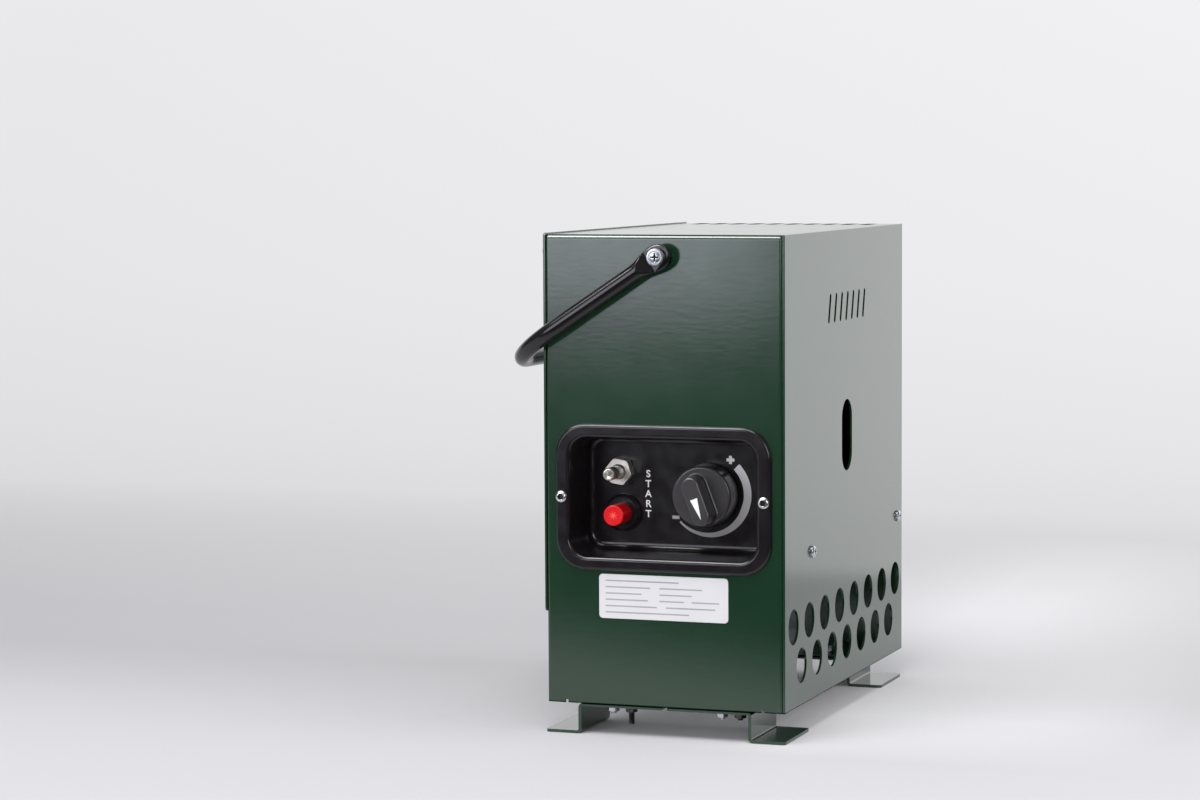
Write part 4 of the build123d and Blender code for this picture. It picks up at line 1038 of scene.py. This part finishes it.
SWEEP_FLOOR = (-6.0, -3.0, 0.0)
SWEEP_START = 1.6
SWEEP_RADIUS = 1.6
SWEEP_HEIGHT = 4.0
SWEEP_HALF_WIDTH = 7
SWEEP_STEPS = 40
TABLE_EDGE = -0.43
TABLE_EDGE_SOFT = 0.12
TABLE_EDGE_SLANT = 0.6
ROOM_COLOUR = (0.01, 0.01, 0.01)
PAPER_COLOUR = (0.8, 0.8, 0.8)
PAPER_ROUGHNESS = 0.75
PAPER_TINT = (0.995, 0.99, 1.01)

# Grey of the paper by distance behind the part, over the floor and up the wall, with painted shade
# darkest just behind the part and painted light rising up the wall
PAPER_SHADE_STOPS = ((-0.6, 0.60), (-0.2, 0.62), (-0.1, 0.61), (0.1, 0.53), (0.3, 0.54), (0.6, 0.61),
               (1.2, 0.71), (2.5, 0.81), (3.5, 0.85), (4.6, 0.86))
PAPER_SPAN = 5.2
PAPER_GLOW = (0.35, 1.2)

# Painted light on the floor, across it and beside the part's right side: ranges over X or the
# distance behind, then the factor at either end
PAPER_LIGHT_ACROSS = (-2.0, 0.5, 0.97, 1.07)
PAINTED_LIGHT_NEAR = (-0.18, -0.02, 0, 1)
PAINTED_LIGHT_BESIDE = (-0.10, 0.06, 0, 0.48)
PAINTED_LIGHT_FALL = (0.12, 0.32, 1, 0.12)
PAINTED_LIGHT_FADE = (0.3, 1.0, 1, 0)


def paper_shaded_tone(material, along):
    """Colour of the paper by the distance behind the part, with painted shade just behind it."""
    shade = add_node(material, "ShaderNodeValToRGB")
    start = PAPER_SHADE_STOPS[0][0]
    join(material, ramp(material, along, start, start + PAPER_SPAN, 0, 1), shade.inputs["Fac"])
    marks = shade.color_ramp.elements
    while len(marks) < len(PAPER_SHADE_STOPS):
        marks.new(0.5)
    for mark, (place, grey) in zip(marks, PAPER_SHADE_STOPS):
        mark.position = (place - start) / PAPER_SPAN
        mark.color = (*[grey * tint for tint in PAPER_TINT], 1)
    return shade.outputs["Color"]


def paper_painted_light(material, x, along):
    """Factor of painted light that brightens the floor beside the part's right side, where the
    part's shadow falls.
    """
    right = calculate(material, "MULTIPLY", ramp(material, along, *PAINTED_LIGHT_NEAR),
                      ramp(material, x, *PAINTED_LIGHT_BESIDE))
    right = calculate(material, "MULTIPLY", right, ramp(material, x, *PAINTED_LIGHT_FALL))
    return calculate(material, "MULTIPLY_ADD", right, ramp(material, along, *PAINTED_LIGHT_FADE), 1.0)


def paper_material():
    """Pale paper with painted shade a little darker behind the part and painted light beside it,
    whose far half glows by itself.

    Its gloss rays see a dark room in front of the table's edge.
    """
    material, shader = new_material("backdrop_paper", PAPER_COLOUR, PAPER_ROUGHNESS)
    shader.inputs["Specular IOR Level"].default_value = 0.0
    where = add_node(material, "ShaderNodeTexCoord").outputs["Object"]
    x, y, z = split(material, where)
    along = calculate(material, "ADD", y, z)
    # Painted shade behind the part, painted light across the floor and beside its right side.
    paper = scaled(material, paper_shaded_tone(material, along), ramp(material, x, *PAPER_LIGHT_ACROSS))
    paper = scaled(material, paper, paper_painted_light(material, x, along))
    join(material, scaled(material, paper, ramp(material, along, *PAPER_GLOW, 1, 0)),
         shader.inputs["Base Color"])
    join(material, paper, shader.inputs["Emission Color"])
    join(material, ramp(material, along, *PAPER_GLOW, 0, 1), shader.inputs["Emission Strength"])
    slanted = calculate(material, "MULTIPLY_ADD", x, -TABLE_EDGE_SLANT, y)
    beyond = ramp(material, slanted, TABLE_EDGE - TABLE_EDGE_SOFT, TABLE_EDGE + TABLE_EDGE_SOFT,
                  1, 0)
    gloss = add_node(material, "ShaderNodeLightPath").outputs["Is Glossy Ray"]
    dark = add_node(material, "ShaderNodeBsdfDiffuse", Color=(*ROOM_COLOUR, 1))
    mixed = add_node(material, "ShaderNodeMixShader")
    join(material, calculate(material, "MULTIPLY", beyond, gloss), mixed.inputs["Fac"])
    join(material, shader.outputs[0], mixed.inputs[1])
    join(material, dark.outputs[0], mixed.inputs[2])
    output = material.node_tree.nodes["Material Output"]
    join(material, mixed.outputs[0], output.inputs["Surface"])
    return material


def sweep():
    """Pale floor that curves up into a pale wall behind."""
    profile = [(y, 0.0) for y in SWEEP_FLOOR]
    for i in range(SWEEP_STEPS + 1):
        angle = pi / 2 * i / SWEEP_STEPS
        profile.append((SWEEP_START + SWEEP_RADIUS * sin(angle), SWEEP_RADIUS * (1 - cos(angle))))
    profile.append((SWEEP_START + SWEEP_RADIUS, SWEEP_HEIGHT))
    shape = bmesh.new()
    rows = [[shape.verts.new((x, y, z)) for x in (-SWEEP_HALF_WIDTH, SWEEP_HALF_WIDTH)]
            for y, z in profile]
    for low, high in zip(rows, rows[1:]):
        shape.faces.new((low[0], low[1], high[1], high[0])).smooth = True
    backdrop = put_in_scene("sweep", mesh_from("sweep", shape))
    backdrop.data.materials.append(paper_material())


# Watts for each square metre of a lamp's face at level 1
LAMP_POWER = 4


def area_light(name, place, target, width, height, level, colour, seen):
    """Soft rectangular lamp that points at a target, lights at a level and is seen by some rays."""
    data = bpy.data.lights.new(name, "AREA")
    data.shape = "RECTANGLE"
    data.size = width
    data.size_y = height
    data.energy = level * LAMP_POWER * width * height
    data.color = colour
    lamp = put_in_scene(name, data)
    aim = (Vector(target) - Vector(place)).to_track_quat("-Z", "Y")
    lamp.matrix_world = Matrix.Translation(place) @ aim.to_matrix().to_4x4()
    lamp.visible_camera = False
    lamp.visible_diffuse = "diffuse" in seen
    lamp.visible_glossy = "glossy" in seen


WORLD_COLOUR = (0.95, 0.96, 1.0)
WORLD_LEVEL = 0.45
WORLD_SEEN = 0.85
WORLD_MIRRORED = 0.12
WHITE = (1, 1, 1)
COOL = (1.0, 1, 1.13)
BOTH = ("diffuse", "glossy")
DIFFUSE = ("diffuse",)
GLOSSY = ("glossy",)

# Lamps: name, place, target, width, height, level, colour and the rays that see them
LAMPS = (
    ("overhead", (-0.15, -0.95, 2.15), (0, 0, 0.1), 1.5, 1.3, 3.8, WHITE, BOTH),
    ("front_left", (-1.42, -2.51, 0.85), (-1.42, 0, 0.85), 1.6, 1.4, 2.45, COOL, BOTH),
    ("overhead_left", (-1.15, -0.85, 2.15), (0, -0.1, 0.15), 1.3, 1.5, 7.5, WHITE, GLOSSY),
    ("front_right", (1.6, -2.1, 0.8), (0.03, -0.14, 0.155), 0.7, 1.1, 5.0, WHITE, GLOSSY),
    ("back_card", (-1.0, 2.6, 0.42), (0, 0, 0.32), 2.0, 0.8, 0.17, WHITE, GLOSSY),
    ("right_back", (0.28, 0.67, 0.30), (0.1, -0.05, 0.30), 0.5, 0.6, 0.36, WHITE, GLOSSY),
    ("front_fill", (0.5, -3.0, 0.7), (0, 0, 0.1), 1.6, 1.2, 3.6, WHITE, DIFFUSE),
    ("right_fill", (2.6, 0.1, 1.1), (0, 0, 0), 1.4, 1.4, 3.4, WHITE, DIFFUSE),
)


def light_scene():
    """Studio light: a pale world, dim in mirrors, two full lamps and six for some rays only."""
    world = bpy.data.worlds.new("studio")
    bpy.context.scene.world = world
    world.use_nodes = True
    background = world.node_tree.nodes["Background"]
    background.inputs["Color"].default_value = (*WORLD_COLOUR, 1)
    rays = add_node(world, "ShaderNodeLightPath")
    plain = calculate(world, "MULTIPLY_ADD", rays.outputs["Is Camera Ray"],
                      WORLD_SEEN - WORLD_LEVEL, WORLD_LEVEL)
    level = calculate(world, "MULTIPLY_ADD", rays.outputs["Is Glossy Ray"],
                      WORLD_MIRRORED - WORLD_LEVEL, plain)
    join(world, level, background.inputs["Strength"])
    for lamp in LAMPS:
        area_light(*lamp)


bpy.context.scene.view_settings.view_transform = "Standard"
make_camera()
dress_nodes()
fasteners()
nipple()
handle()
dial_arc()
dial_signs()
start_word()
pointer()
button_star()
label_rules()
sweep()
light_scene()
